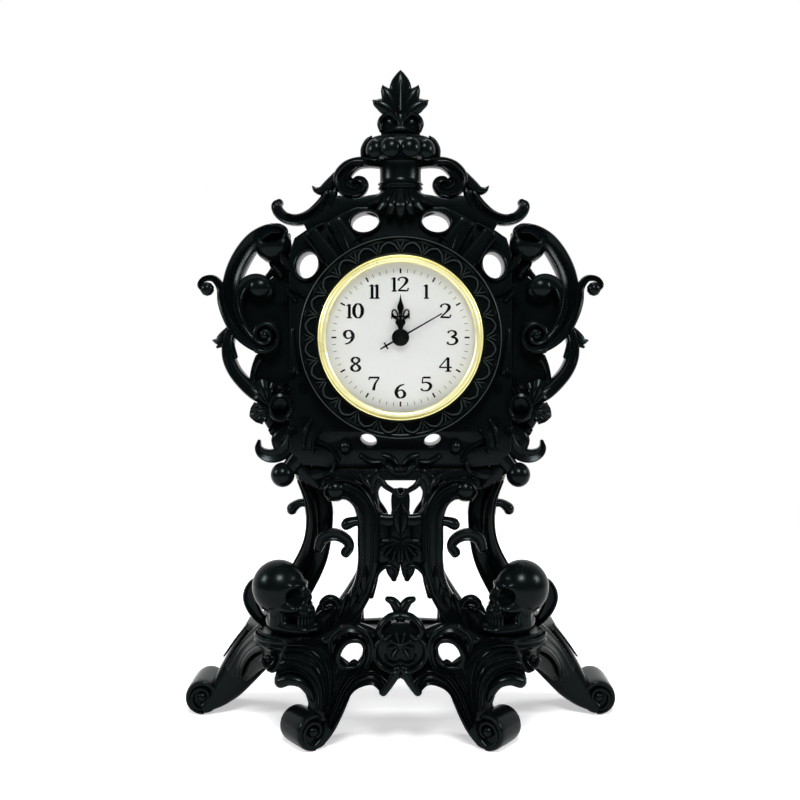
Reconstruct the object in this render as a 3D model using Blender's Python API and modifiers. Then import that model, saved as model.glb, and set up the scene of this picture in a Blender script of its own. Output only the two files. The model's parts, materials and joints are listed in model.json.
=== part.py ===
"""Table clock: a rococo case of glued black castings round a push-in quartz insert.

Metres, +Z up. The front faces -Y, and the origin is on the table under the middle of the clock.
Drawings of the ornament are lists of (x, z) or (x, z, half width) in millimetres, for the right side.
"""

import math

import bmesh
import bpy
from mathutils import Matrix, Vector

MM = 0.001                      # the ornament's drawings are in millimetres
GAP = 0.0003                    # glue line or clearance between pieces that touch
WELD = 0.00004                  # slivers shorter than this are closed in the castings

# Case
DIAL_HEIGHT = 0.177             # centre of the dial over the table
RING_WIDTH = 0.0086             # how far the ring round the dial stands out past the bezel
ROUND_STEPS = 30                # facets round the dial
SEAT_Y = -0.014                 # face of the dial ring that the insert's bezel rests on
RING_STEP = 0.0015              # from the front of the drum to that face
CASE_BACK_Y = 0.014             # back face of the drum
PLATE_FRONT_Y = -0.008          # the housing's ornamental plate
PLATE_BACK_Y = 0.010
HOUSING_BELOW = 0.0585          # from the dial's centre down to the foot of the housing
HOUSING_ABOVE = 0.059
DRAWN_RING = 44.8               # the ring's radius in the drawings, in millimetres
DRAWN_DIAL = 177                # the dial's height in the drawings
DRAWN_PLATE = 50                # half the width of the housing in the drawings
DRAWN_TOP = 236                 # the housing's top in the drawings

# Base
DECK_TOP = 0.0424
DECK_THICKNESS = 0.0028
PAD_TOP = 0.0466
PAD_THICKNESS = 0.0054
PAD_BOTTOM = 0.033              # foot of the cone under the pad
CONE_RADIUS = 0.0138
CONE_FOOT_RADIUS = 0.0113
PAD_X = 0.0492
PAD_Y = -0.0115
REAR_BLOCK_TOP = 0.047
REAR_BLOCK_BOTTOM = 0.026
REAR_APRON_Y = 0.0225
REAR_APRON_THICKNESS = 0.005
CURL_Y = -0.020
APRON_Y = -0.0275
APRON_THICKNESS = 0.006
REAR_LEG_Y = 0.0295

# Legs
FOOT_RADIUS = 0.0081            # outer radius of the rolled foot
REAR_FOOT_WIDTH = 0.027
FRONT_FOOT_WIDTH = 0.0226
FOOT_FACETS = 15                # one facet lies flat on the table
FOOT_CENTRE = FOOT_RADIUS * math.cos(math.pi / FOOT_FACETS)
REAR_FOOT_X = 0.093
FRONT_FOOT_X = 0.0418
FRONT_FOOT_Y = -0.0206
FRONT_LEG_TURN = math.radians(-28)
GROOVE_DEPTH = 0.0016           # the spiral sunk in the ends of a rolled foot

# Waist
FRAME_DEPTH = 0.012
FRAME_Y = 0.012                 # middle of the front and back frames, either side of centre
PANEL_THICKNESS = 0.006
HEAD_PROUD = 0.0006             # how far a column's rolled head stands out past its faces
CAP_HALF_WIDTH = 0.033          # the rail that joins a frame's columns under the housing
CAP_HEIGHT = 0.0034
BLADE_Y = 0.007
BLADE_DEPTH = 0.010

# Skulls
SKULL_X = 0.0536
SKULL_Y = -0.012
SKULL_TURN = math.radians(66)
SKULL_WIDTH = 0.0224

# Crest
CREST_DEPTH = 0.012
URN_BOTTOM = 0.2566
URN_RADIUS = 0.018
GADROONS = 12
FINIAL_THICKNESS = 0.008

# Insert
BEZEL_OVERLAP = 0.003           # how far the bezel covers the housing round its bore
BEZEL_FACE = 0.0035             # width of the bezel as seen from the front
BEZEL_DEPTH = 0.0068
BEZEL_WALL = 0.0013
LIP_THICKNESS = 0.0008
LENS_THICKNESS = 0.0007
DIAL_THICKNESS = 0.0005
FLANGE_THICKNESS = 0.001
BARREL_RADIUS = 0.032
BARREL_WALL = 0.0012
BARREL_DEPTH = 0.0153
BAND_THICKNESS = 0.0006
BAND_WIDTH = 0.006

# Hands
HAND_THICKNESS = 0.0003
HAND_STEP = 0.0008              # from one hand to the next
HOUR_LENGTH = 0.0142
MINUTE_LENGTH = 0.019
SECOND_LENGTH = 0.0215
SECOND_TAIL = 0.0102
HUB_RADIUS = 0.0038

# Movement, measured back from the dial
MODULE_WIDE = 1.4375            # the movement's width and height, in radii of the barrel
MODULE_TALL = 1.125
MODULE_MARGIN = 0.0012          # free space inside its walls
MODULE_WALL = 0.001
MODULE_DEPTH = 0.0118
WHEEL_THICKNESS = 0.0005
TRAIN_MODULE = 0.0003
MOTION_MODULE = 0.0005
ARBOR_RADIUS = 0.0004
CANNON_BORE = 0.00075
CANNON_RADIUS = 0.00115
HOUR_BORE = 0.0015
HOUR_RADIUS = 0.002
CASE_HOLE = 0.0024
PIPE_PROUD = 0.0001             # a pipe runs this far out of the back of its wheel
CELL_RADIUS = 0.0058
CELL_HEIGHT = 0.0054
KNOB_RADIUS = 0.0045
KNOB_LENGTH = 0.0035

LEAVES = 6                      # leaves of every train pinion
ROTOR_WHEEL_TEETH = 30
SECOND_WHEEL_TEETH = 36
THIRD_WHEEL_TEETH = 45
CENTRE_WHEEL_TEETH = 48
CANNON_LEAVES = 8
MOTION_WHEEL_TEETH = 24

# Derived
BORE_RADIUS = BARREL_RADIUS + BAND_THICKNESS + 2 * GAP
BEZEL_RADIUS = BORE_RADIUS + BEZEL_OVERLAP
BEZEL_OPENING = BEZEL_RADIUS - BEZEL_FACE
RING_OUTER = BEZEL_RADIUS + RING_WIDTH
PLATE_SCALE = RING_OUTER / (DRAWN_RING * MM)
HOUSING_BOTTOM = DIAL_HEIGHT - HOUSING_BELOW * PLATE_SCALE
HOUSING_TOP = DIAL_HEIGHT + HOUSING_ABOVE * PLATE_SCALE
MODULE_WIDTH = MODULE_WIDE * BARREL_RADIUS
MODULE_HEIGHT = MODULE_TALL * BARREL_RADIUS
CELL_X = MODULE_WIDTH / 2 - MODULE_WALL - MODULE_MARGIN - CELL_RADIUS
CELL_Z = CELL_RADIUS + MODULE_MARGIN + MODULE_WALL - MODULE_HEIGHT / 2
LENS_RADIUS = BEZEL_RADIUS - BEZEL_WALL - GAP
BEZEL_FRONT_Y = SEAT_Y - GAP - BEZEL_DEPTH
FLANGE_BACK_Y = SEAT_Y - GAP
DIAL_BACK_Y = FLANGE_BACK_Y - FLANGE_THICKNESS - GAP
DIAL_FRONT_Y = DIAL_BACK_Y - DIAL_THICKNESS
MODULE_FRONT_Y = DIAL_BACK_Y + GAP
MODULE_BACK_Y = MODULE_FRONT_Y + MODULE_DEPTH
MOTION_DISTANCE = (CANNON_LEAVES + MOTION_WHEEL_TEETH) / 2 * MOTION_MODULE
THIRD_DISTANCE = (LEAVES + THIRD_WHEEL_TEETH) / 2 * TRAIN_MODULE
SECOND_DISTANCE = (LEAVES + SECOND_WHEEL_TEETH) / 2 * TRAIN_MODULE
ROTOR_DISTANCE = (LEAVES + ROTOR_WHEEL_TEETH) / 2 * TRAIN_MODULE


def collection(name):
    """A new collection in the scene."""
    made = bpy.data.collections.new(name)
    bpy.context.scene.collection.children.link(made)
    return made


def material(name, colour, roughness, metallic=0.0, transmission=0.0):
    """A Principled material in one colour."""
    made = bpy.data.materials.new(name)
    made.use_nodes = True
    made.diffuse_color = (*colour, 1.0)
    shader = made.node_tree.nodes["Principled BSDF"]
    shader.inputs["Base Color"].default_value = (*colour, 1.0)
    shader.inputs["Roughness"].default_value = roughness
    shader.inputs["Metallic"].default_value = metallic
    shader.inputs["Transmission Weight"].default_value = transmission
    return made


for old in list(bpy.data.objects):
    bpy.data.objects.remove(old)
CLOCK = collection("skull_table_clock")
HELPERS = collection("cutters")
RESIN = material("black_resin", (0.018, 0.021, 0.023), 0.42)
GILT = material("champagne_bezel", (0.80, 0.74, 0.60), 0.28, 1.0)
CLEAR = material("clear_lens", (0.95, 0.95, 0.95), 0.03, 0.0, 1.0)
PAPER = material("dial_card", (0.86, 0.86, 0.83), 0.6)
BLACK = material("black_lacquer", (0.01, 0.01, 0.012), 0.35)
CUP_PLASTIC = material("black_plastic", (0.03, 0.03, 0.03), 0.5)
RUBBER = material("rubber", (0.02, 0.02, 0.02), 0.8)
GEAR_PLASTIC = material("white_plastic", (0.8, 0.8, 0.76), 0.45)
STEEL = material("steel", (0.6, 0.6, 0.6), 0.3, 1.0)
COPPER = material("copper_wire", (0.7, 0.35, 0.18), 0.35, 1.0)
BOARD = material("circuit_board", (0.05, 0.2, 0.08), 0.6)


def mesh_object(name, mesh):
    """An object for a mesh, with its faces turned outward."""
    tidy = bmesh.new()
    tidy.from_mesh(mesh)
    bmesh.ops.remove_doubles(tidy, verts=tidy.verts, dist=1e-6)
    bmesh.ops.recalc_face_normals(tidy, faces=tidy.faces)
    tidy.to_mesh(mesh)
    tidy.free()
    made = bpy.data.objects.new(name, mesh)
    CLOCK.objects.link(made)
    return made


def baked(source, matrix=None):
    """A mesh object from a curve or from an object with modifiers, in world space."""
    graph = bpy.context.evaluated_depsgraph_get()
    mesh = bpy.data.meshes.new_from_object(source.evaluated_get(graph))
    mesh.transform(matrix or source.matrix_world)
    name = source.name
    bpy.data.objects.remove(source)
    return mesh_object(name, mesh)


def helper(made):
    """Marks an object as a cutter or a shape that another object takes in."""
    CLOCK.objects.unlink(made)
    HELPERS.objects.link(made)
    made.hide_render = True
    made.display_type = "WIRE"
    return made


def combine(target, others, operation="UNION"):
    """Joins the target with the others, or cuts it by them, in one Boolean modifier."""
    group = bpy.data.collections.new(target.name + "_" + operation.lower())
    HELPERS.children.link(group)
    for other in others:
        group.objects.link(helper(other))
        HELPERS.objects.unlink(other)
    step = target.modifiers.new(operation.lower(), "BOOLEAN")
    step.operation = operation
    step.operand_type = "COLLECTION"
    step.collection = group
    step.use_self = operation == "UNION"
    return target


def finished(made, colour, smooth=40, weld=0.0):
    """Gives a piece its material and smooth shading; weld closes slivers where that leaves the piece closed."""
    if made.modifiers:
        name = made.name
        made = baked(made)
        made.name = name
    if weld:
        tidy = bmesh.new()
        tidy.from_mesh(made.data)
        bmesh.ops.remove_doubles(tidy, verts=tidy.verts, dist=weld)
        bmesh.ops.dissolve_degenerate(tidy, edges=tidy.edges, dist=weld / 2)
        if all(edge.is_manifold for edge in tidy.edges):
            tidy.to_mesh(made.data)
        tidy.free()
    made.data.materials.clear()
    made.data.materials.append(colour)
    made.data.shade_smooth()
    made.data.set_sharp_from_angle(angle=math.radians(smooth))
    return made


def fair(points, steps):
    """Points on a smooth curve through the given ones, with a number of steps to each span."""
    ends = [points[0], *points, points[-1]]
    made = []
    for a, b, c, d in zip(ends, ends[1:], ends[2:], ends[3:]):
        for i in range(steps):
            t = i / steps
            made.append(tuple(
                0.5 * (2 * q + (r - p) * t + (2 * p - 5 * q + 4 * r - s) * t * t
                       + (3 * q - p - 3 * r + s) * t ** 3)
                for p, q, r, s in zip(a, b, c, d)))
    return made + [tuple(points[-1])]


def spiral(centre, start_radius, end_radius, start_angle, turns, width, end_width, count):
    """Points (x, z, half width) of a spiral; positive turns run from +X towards +Z."""
    made = []
    for i in range(count + 1):
        t = i / count
        angle = math.radians(start_angle) + turns * math.tau * t
        radius = start_radius + (end_radius - start_radius) * t
        made.append((centre[0] + radius * math.cos(angle), centre[1] + radius * math.sin(angle),
                     width + (end_width - width) * t))
    return made


def upright(y=0.0):
    """From a drawing's plane to the upright plane at y."""
    return Matrix.Translation((0, y, 0)) @ Matrix.Rotation(math.radians(90), 4, "X")


def leg_plane(side):
    """From a drawing's plane to the upright plane of a front leg, through its foot's centre."""
    turn = Matrix.Rotation(FRONT_LEG_TURN, 4, "Z") @ Matrix.Rotation(math.radians(90), 4, "X")
    placed = Matrix.Translation((FRONT_FOOT_X, FRONT_FOOT_Y, 0)) @ turn
    return Matrix.Diagonal((side, 1, 1, 1)) @ placed


def curve_object(name, loops, closed, dimensions):
    """A curve object of straight-sided splines; each point is (x, y) or (x, y, radius)."""
    data = bpy.data.curves.new(name, "CURVE")
    data.dimensions = dimensions
    data.render_resolution_u = 0
    for loop in loops:
        spline = data.splines.new("POLY")
        spline.points.add(len(loop) - 1)
        for point, place in zip(spline.points, loop):
            point.co = (place[0], place[1], 0, 1)
            point.radius = place[2] if len(place) > 2 else 1.0
        spline.use_cyclic_u = closed
    made = bpy.data.objects.new(name, data)
    CLOCK.objects.link(made)
    return made


def band(name, points, depth, frame, sides=6, steps=1):
    """A tapering scroll: an oval section swept along points (x, z, half width) of a drawing."""
    path = fair(points, steps) if steps > 1 else points
    widest = max(p[2] for p in points)
    aspect = depth / 2 / widest
    turn = math.tau / sides
    section = [(math.cos(turn * (i + 0.5)), aspect * math.sin(turn * (i + 0.5))) for i in range(sides)]
    profile = curve_object(name + "_section", [section], True, "2D")
    made = curve_object(name, [path], False, "3D")
    made.data.twist_mode = "Z_UP"
    made.data.bevel_mode = "OBJECT"
    made.data.bevel_object = profile
    made.data.use_fill_caps = True
    made = baked(made, frame)
    bpy.data.objects.remove(profile)
    return made


def plate(name, outline, thickness, frame, holes=(), bevel=0.0):
    """A flat outline with holes, thickness deep about its frame's plane, with eased edges."""
    made = curve_object(name, [outline, *holes], True, "2D")
    made.data.fill_mode = "BOTH"
    made.data.extrude = thickness / 2 - bevel
    made.data.bevel_depth = bevel
    made.data.bevel_resolution = 0
    made.data.offset = -bevel
    return baked(made, frame)


def circle(centre, radius, count, stretch=1.0):
    """A closed loop of points; stretch scales its height."""
    return [(centre[0] + radius * math.cos(math.tau * i / count),
             centre[1] + stretch * radius * math.sin(math.tau * i / count)) for i in range(count)]


def turned(name, profile, steps, matrix):
    """A closed or axis-touching profile of (radius, height) turned about its own +Z."""
    mesh = bpy.data.meshes.new(name)
    on_axis = profile[0][0] == 0 and profile[-1][0] == 0
    edges = [(i, i + 1) for i in range(len(profile) - 1)]
    if not on_axis:
        edges.append((len(profile) - 1, 0))
    mesh.from_pydata([(r, 0, h) for r, h in profile], edges, [])
    made = bpy.data.objects.new(name, mesh)
    CLOCK.objects.link(made)
    screw = made.modifiers.new("turn", "SCREW")
    screw.steps = steps
    screw.render_steps = steps
    screw.use_merge_vertices = True
    screw.merge_threshold = 1e-6
    return baked(made, matrix)


def forward(y, x=0.0, z=DIAL_HEIGHT):
    """Stands a turned piece's +Z along -Y, from the plane at y."""
    return Matrix.Translation((x, y, z)) @ Matrix.Rotation(math.radians(90), 4, "X")


def rod(name, radius, y_front, y_back, x=0.0, z=DIAL_HEIGHT, sides=10):
    """A cylinder along Y between two planes."""
    return turned(name, [(0, y_back - y_front), (radius, y_back - y_front), (radius, 0), (0, 0)],
                  sides, forward(y_back, x, z))


def tube(name, radius, bore, y_front, y_back, x=0.0, z=DIAL_HEIGHT, sides=12):
    """A tube along Y between two planes."""
    length = y_back - y_front
    return turned(name, [(radius, length), (radius, 0), (bore, 0), (bore, length)],
                  sides, forward(y_back, x, z))


def ball(name, centre, radii, turn=None, segments=10, rings=6):
    """An ellipsoid from a sphere primitive."""
    bpy.ops.mesh.primitive_uv_sphere_add(segments=segments, ring_count=rings, radius=1.0)
    made = bpy.context.object
    made.name = name
    matrix = Matrix.Translation(centre) @ Matrix.Diagonal((*radii, 1))
    return shaped(made, (turn or Matrix()) @ matrix)


def block(name, low, high, turn=None, bevel=0.0):
    """A box between two corners, with eased edges."""
    low, high = Vector(low), Vector(high)
    bpy.ops.mesh.primitive_cube_add(size=1.0)
    made = bpy.context.object
    made.name = name
    made.data.transform(Matrix.Translation((low + high) / 2) @ Matrix.Diagonal((*(high - low), 1)))
    if bevel:
        ease = made.modifiers.new("ease", "BEVEL")
        ease.width = bevel
        ease.segments = 1
    return shaped(made, turn or Matrix())


def shaped(made, matrix):
    """Bakes a primitive into the clock's collection through a matrix."""
    for owner in list(made.users_collection):
        owner.objects.unlink(made)
    CLOCK.objects.link(made)
    bpy.context.view_layer.update()
    return baked(made, matrix)


def both_sides(half):
    """A closed outline from its right half, listed from the bottom middle to the top middle."""
    return list(half) + [(-x, z) for x, z in reversed(half) if x > 0]


def on_side(points, side):
    """A right-hand drawing in metres, mirrored for the left side."""
    return [(side * p[0] * MM, p[1] * MM, *[w * MM for w in p[2:]]) for p in points]


def beside_plate(points):
    """Moves a drawing made beside the housing to the real side of the housing and height of the dial."""
    wider = DRAWN_PLATE * (PLATE_SCALE - 1)
    higher = DIAL_HEIGHT / MM - DRAWN_DIAL
    return [(p[0] + wider, p[1] + higher, *p[2:]) for p in points]


def on_plate(points):
    """Spreads the places of a drawing on the housing about the dial's centre, to suit the real ring."""
    return [(p[0] * PLATE_SCALE, DIAL_HEIGHT / MM + (p[1] - DRAWN_DIAL) * PLATE_SCALE, *p[2:]) for p in points]


def in_waist(points):
    """Stretches a drawing made for a waist from 42.4 to 118.5 mm to the real deck and housing."""
    rise = (HOUSING_BOTTOM - DECK_TOP) / MM / 76.1
    return [(p[0], DECK_TOP / MM + (p[1] - 42.4) * rise, *p[2:]) for p in points]


def over_housing(points):
    """Lifts a drawing made over the housing to the real housing's top."""
    lift = HOUSING_TOP / MM - DRAWN_TOP
    return [(p[0], p[1] + lift, *p[2:]) for p in points]


# Drawings

DECK_HALF = [(0, -4), (21, -4), (24, -19), (28, -26), (46, -26.6), (62, 0), (64, 14), (62, 26),
             (44, 26), (36, 22.2), (0, 22.2)]
PAD = [(34, -9), (33.6, -19), (37, -25), (46, -27), (53, -21), (60, -6), (63.6, 8), (63.4, 16), (55, 15),
       (44, 4)]
REAR_BLOCK = [(48, 1), (60.5, 0.5), (65.7, 12), (65.7, 42.4), (60, 43), (50, 40), (43, 30), (42, 18)]
APRON_HALF = [(0, 31), (4, 30), (6, 26), (7.7, 23.5), (9.5, 25.5), (9.4, 28.5), (13, 30.8),
              (18, 31), (22, 34), (30, 37), (38, 41), (40, 45), (34, 48.4), (24, 53.5), (12, 56), (0, 57)]
REAR_APRON_HALF = [(0, 33), (20, 34), (36, 36), (50, 34), (56, 40), (44, 45), (20, 43.4), (0, 44.4)]
OVAL_HOLE = (20.9, 43, 4.4)
MEDALLION = (0, 46.5, 8.6)
SHOULDER_LEAF = [(-21, 36, 3.4), (-12, 36.2, 4.2), (-3, 40.2, 5.0), (6, 40.6, 4.5), (12.5, 36.5, 3.5),
                 (14.5, 31, 2.6), (12, 28, 1.6)]
SNAIL_CURL = [(64.5, 39.6, 2.2), (60.5, 42.2, 2.5), (56.5, 40.4, 2.3), (55.6, 36.6, 2.0), (58.2, 34.2, 1.8)]
DRAWN_REAR_FOOT = 90.8
REAR_LEG_OVER = [(66, 45.6), (68.6, 42.6), (73, 37.6), (78.2, 31), (82.6, 23.3), (84.4, 15.6)]
REAR_LEG_UNDER = [(77.6, 3), (73, 7.6), (68.4, 13.8), (66, 17.5)]
FRONT_LEG_OVER = [(-8, 32.7), (-6, 28), (-5.2, 22), (-6.2, 15.5)]
FRONT_LEG_UNDER = [(-7.2, 3.5), (-11.7, 9.9), (-15.6, 17.6), (-19, 24), (-25, 28.6), (-26, 32.7)]

DRAWN_SKULL = 22.4

COLUMN = [(27.5, 42.4, 4.9), (28, 49, 5.1), (27.6, 55.4, 5.2), (23.9, 62, 5.4), (18.6, 68.5, 5.6),
          (15.8, 77.3, 5.7), (14.9, 86, 5.7), (14.5, 97, 5.5), (15.4, 106.2, 5.1), (20, 112, 4.6),
          (26, 113.2, 4.2)]
COLUMN_FOOT = [(20.5, 42.4, 7.0), (19.6, 50, 6.2), (18.4, 58, 4.8), (17.6, 65, 3.0)]
COLUMN_HEAD = (28.7, 110.4, 4.9)
COLUMN_HOOK = [(17, 98.5, 2.2), (21, 98, 1.9), (24, 95.6, 2.4)]
CROSS_SCROLL = [(19, 82.6, 2.8), (21.6, 86.0, 2.0), (24.1, 89.5, 1.8), (28.5, 91.5, 1.9),
                (34.2, 91.1, 1.9), (38.6, 87.6, 1.4)]
INNER_CURL = [(13, 72, 1.9), (10, 77, 2.1), (6, 78.2, 2.0), (3, 75.5, 1.8), (4.4, 72.5, 1.9)]
PANEL_HALF = [(0, 76), (2, 71.5), (4.6, 74), (8, 78), (11, 82), (11, 108), (12, 118.2), (0, 118.2)]
HEART_HOLE = [(0, 107.5), (4.6, 111.5), (5.2, 114.4), (3, 115.9), (0, 114.4), (-3, 115.9),
              (-5.2, 114.4), (-4.6, 111.5)]
SLIT_HOLE = (6.3, 102.2, 2.3)
SHELL_RAYS = 5
BLADE = [(57.6, 50.3, 2.8), (53, 60.3, 3.0), (46.9, 71.8, 3.1), (43.2, 77.9, 3.2), (41.3, 85.7, 3.3),
         (41.3, 94.9, 3.3), (42.4, 104.1, 3.3), (45, 111.7, 3.2), (46.5, 118.2, 3.0)]
BLADE_HOOK = [(42, 100.5, 2.2), (45.5, 102.6, 1.9), (48.6, 101.4, 2.4)]

PLATE_HALF = [(0, 118.5), (48.5, 118.5), (50, 122), (50, 222),
              (47.5, 228.6), (34, 229.2), (27, 233), (25, 236), (0, 236)]
TOP_HOLE = (16.1, 229.6, 6.3, 0.76)
SIDE_HOLE = (42.2, 211.2, 5.0, 1.1)
FOOT_HOLE = (14.6, 129.4, 3.0)
ROSETTE = (54, 145.7, 4.4)
STRAPS = [[(30, 228, 2.6), (27.5, 220, 2.4), (25, 213, 2.2)], [(46, 225, 2.4), (40, 215, 2.2), (34.5, 206, 2.0)]]
LOWER_HOOK = [(46.5, 129.5, 2.6), (49.6, 125.2, 2.8), (54, 123, 2.8), (59, 123.4, 2.4),
              (62.3, 126.8, 1.8), (62.3, 131, 1.0)]
BALL = (51.9, 117.4, 5.5)
SHOULDER_BALL = (24.6, 129.6, 2.8)

WING_WEB = [(50.3, 152), (58, 153), (61, 164), (67, 173), (71, 184), (72, 196), (67, 203),
            (58, 205.5), (55, 209), (50.3, 208)]
WING_OUTER = [(61, 225.2, 2.6), (67, 222.8, 3.2), (72.7, 216.6, 3.5), (76, 208.3, 3.4),
              (77, 200, 3.2), (75.7, 191.5, 3.0), (72.5, 183.5, 2.8), (68, 177, 2.4)]
WING_CURL = (57.4, 219, 7.0)
WING_CURL_EYE = (57.9, 222.4, 3.6, 0.55)
WING_STEM = [(87.2, 200.2, 3.0), (85.6, 203.6, 1.6), (82.4, 203.8, 1.8), (80.9, 198.6, 2.0),
             (80.7, 192.5, 2.2), (79, 186, 2.3), (76, 180.4, 2.4), (71.6, 175, 2.5), (67, 171, 2.5),
             (61.5, 169.2, 2.3), (56.5, 171.5, 1.9)]
WING_INNER = [(60.5, 200.6, 3.6), (62, 203.8, 2.6), (66.5, 205, 2.0), (70.8, 202.4, 1.9),
              (72.9, 197, 1.8), (73, 190.5, 1.8), (71, 183.5, 1.9), (68, 177.6, 1.9)]
WING_VOLUTE = (61, 178.6)
WING_SPUR = [(76, 183), (78.5, 180), (81.5, 176.5), (85, 176), (83.6, 173), (79.6, 171.6), (75, 172)]
WING_LOWER = [(76.5, 177, 3.4), (75.8, 171, 3.9), (75, 165, 3.9), (72.6, 159.6, 3.7),
              (68.4, 154.6, 3.4), (64.4, 151.4, 3.0)]
WING_LEAF = [(61.5, 167.4, 1.8), (64.2, 165.6, 2.0), (67, 164.4, 1.0)]
WING_CLUSTER = [(64.5, 156, 2.8), (64.8, 150, 4.2), (66.4, 143.6, 3.8), (63.4, 138, 3.0),
                (60.4, 134.6, 2.0)]

CREST_NECK = [(0, 256.3), (8.2, 256.3), (8.0, 249), (8.4, 246.6), (9.9, 246.3), (9.9, 244.4),
              (9.0, 243.8), (12.6, 238.5), (13.6, 236.3), (0, 236.3)]
CREST_BAND = [(13, 253.4, 1.7), (18, 254.6, 1.9), (23.5, 255.2, 2.3), (27.4, 252.2, 2.5),
              (29, 247.6, 2.6), (27.8, 243, 2.4), (24, 240.3, 2.1), (19.6, 240.9, 1.8),
              (17.2, 244.2, 1.6), (18.4, 247.6, 1.4), (21.6, 248.4, 1.2)]
CREST_LEAF = [(28.5, 252), (33, 248.4), (37, 246), (40.2, 246.2), (38.8, 243.4), (35, 241.8), (30, 240)]
CREST_ARM = [(30.5, 249, 2.6), (31.8, 243.5, 2.7), (35.2, 238, 2.6), (40.6, 233.8, 2.5),
             (47.4, 232, 2.3), (53.4, 233.8, 2.1), (55.8, 237.4, 1.8), (53.6, 240, 1.2)]
CREST_DROP = [(31.5, 242, 2.0), (31.6, 238, 1.8), (32.6, 235, 1.0)]

URN = [(0, 268), (9.5, 268), (9.5, 266.4), (13.6, 266.6), (14.2, 268.6), (14.8, 267.4), (16.4, 263),
       (18, 259.6), (17, 257.6), (15, 256.6), (0, 256.6)]
FINIAL_HALF = [(0, 270.8), (8.6, 270.8), (10.2, 274.4), (9.3, 278.9), (12, 284.6), (8.0, 285.2),
               (7.9, 291.4), (5, 291.2), (0, 298.9)]
FINIAL_CURL = (5.1, 275, 4.3)


def mm(points):
    """A drawing in metres."""
    return [tuple(value * MM for value in point) for point in points]


def flat_circle(hole, side, count):
    """A drawn round or oval hole (x, z, radius, stretch) in metres."""
    x, z, radius, *stretch = hole
    return circle((side * x * MM, z * MM), radius * MM, count, *stretch)


def drum_cutter(name, hole, side, y_front, y_back, count=12):
    """A cutter along Y through a drawn round or oval hole."""
    loop = flat_circle(hole, side, count)
    return plate(name, loop, y_back - y_front, upright((y_front + y_back) / 2))


# Base

def base():
    """Deck, pads under the skulls, rear blocks and the pierced apron, cast as one."""
    plan = Matrix.Translation((0, 0, DECK_TOP - DECK_THICKNESS / 2))
    made = plate("base_casting", both_sides(mm(DECK_HALF)), DECK_THICKNESS, plan)
    joined = []
    block_height = REAR_BLOCK_TOP - REAR_BLOCK_BOTTOM
    for side in (-1, 1):
        outline = [(side * x, y) for x, y in mm(PAD)]
        joined.append(plate("pad", outline, PAD_THICKNESS, Matrix.Translation((0, 0, PAD_TOP - PAD_THICKNESS / 2))))
        inside = PAD_TOP - PAD_THICKNESS / 2
        edge = [(0, inside), (CONE_RADIUS, inside), (CONE_FOOT_RADIUS, PAD_BOTTOM), (0, PAD_BOTTOM)]
        joined.append(turned("cone", edge, 14, Matrix.Translation((side * PAD_X, PAD_Y, 0))))
        rear = Matrix.Translation((0, 0, REAR_BLOCK_BOTTOM + block_height / 2))
        outline = [(side * x, y) for x, y in mm(REAR_BLOCK)]
        joined.append(plate("rear_block", outline, block_height, rear))
        leaf = mm(SHOULDER_LEAF)
        joined.append(band("shoulder_leaf", leaf, 0.017, leg_plane(side), 5))
        curl = on_side(SNAIL_CURL, side)
        joined.append(band("snail_curl", curl, 0.008, upright(CURL_Y), 4))
    holes = [flat_circle(OVAL_HOLE, side, 10) for side in (-1, 1)]
    apron = plate("apron", both_sides(mm(APRON_HALF)), APRON_THICKNESS, upright(APRON_Y), holes)
    rear_apron = plate("rear_apron", both_sides(mm(REAR_APRON_HALF)), REAR_APRON_THICKNESS,
                       upright(REAR_APRON_Y))
    front = APRON_Y - APRON_THICKNESS / 2
    x, z, radius = (value * MM for value in MEDALLION)
    ring = [(radius + 0.0015, 0.0008), (radius, 0.0026), (radius - 0.0016, 0.0008), (radius - 0.0016, -0.002),
            (radius + 0.0015, -0.002)]
    medallion = turned("medallion", ring, 10, forward(front, x, z))
    boss = ball("boss", (x, front, z), (0.0042, 0.003, 0.0042), None, 8, 4)
    frames = []
    for side in (-1, 1):
        x, z, radius = OVAL_HOLE
        loop = spiral((side * x, z), radius + 2.6, radius + 1.6, 90 + side * 40, side * 0.86, 1.7, 1.2, 8)
        frames.append(band("hole_frame", mm(loop), 0.005, upright(front + 0.0005), 4))
        tip = [(2.2, 56, 2.2), (4.6, 60, 2.0), (6.4, 63.2, 1.8), (8.6, 62, 1.2)]
        frames.append(band("medallion_leaf", on_side(tip, side), 0.005, upright(APRON_Y), 4))
    combine(made, [*joined, apron, rear_apron, medallion, boss, *frames])
    return finished(made, RESIN, weld=WELD)


def rolled_foot(centre_x):
    """The outline of the roll at the end of a leg, from the outer side of the leg to its underside."""
    flat = 360 / FOOT_FACETS / 2
    return [(centre_x + FOOT_RADIUS * math.cos(math.radians(2 * flat * step - 90 - flat)),
             FOOT_CENTRE + FOOT_RADIUS * math.sin(math.radians(2 * flat * step - 90 - flat)))
            for step in range(9, -1, -1)]


def leg(name, outline, centre_x, width, frame):
    """A leg that ends in a rolled foot, with a spiral sunk in both ends of the roll."""
    made = plate(name, outline, width, frame, bevel=0.0009)
    centre = (centre_x, FOOT_CENTRE)
    turns = spiral(centre, FOOT_RADIUS - 0.0022, 0.0022, -60, 1.2, 0.0009, 0.0006, 8)
    cutters = []
    for end in (-1, 1):
        place = frame @ Matrix.Translation((0, 0, end * width / 2))
        cutters.append(band("spiral_groove", turns, 2 * GROOVE_DEPTH, place, sides=4))
    combine(made, cutters, "DIFFERENCE")
    return finished(made, RESIN, weld=WELD)


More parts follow.
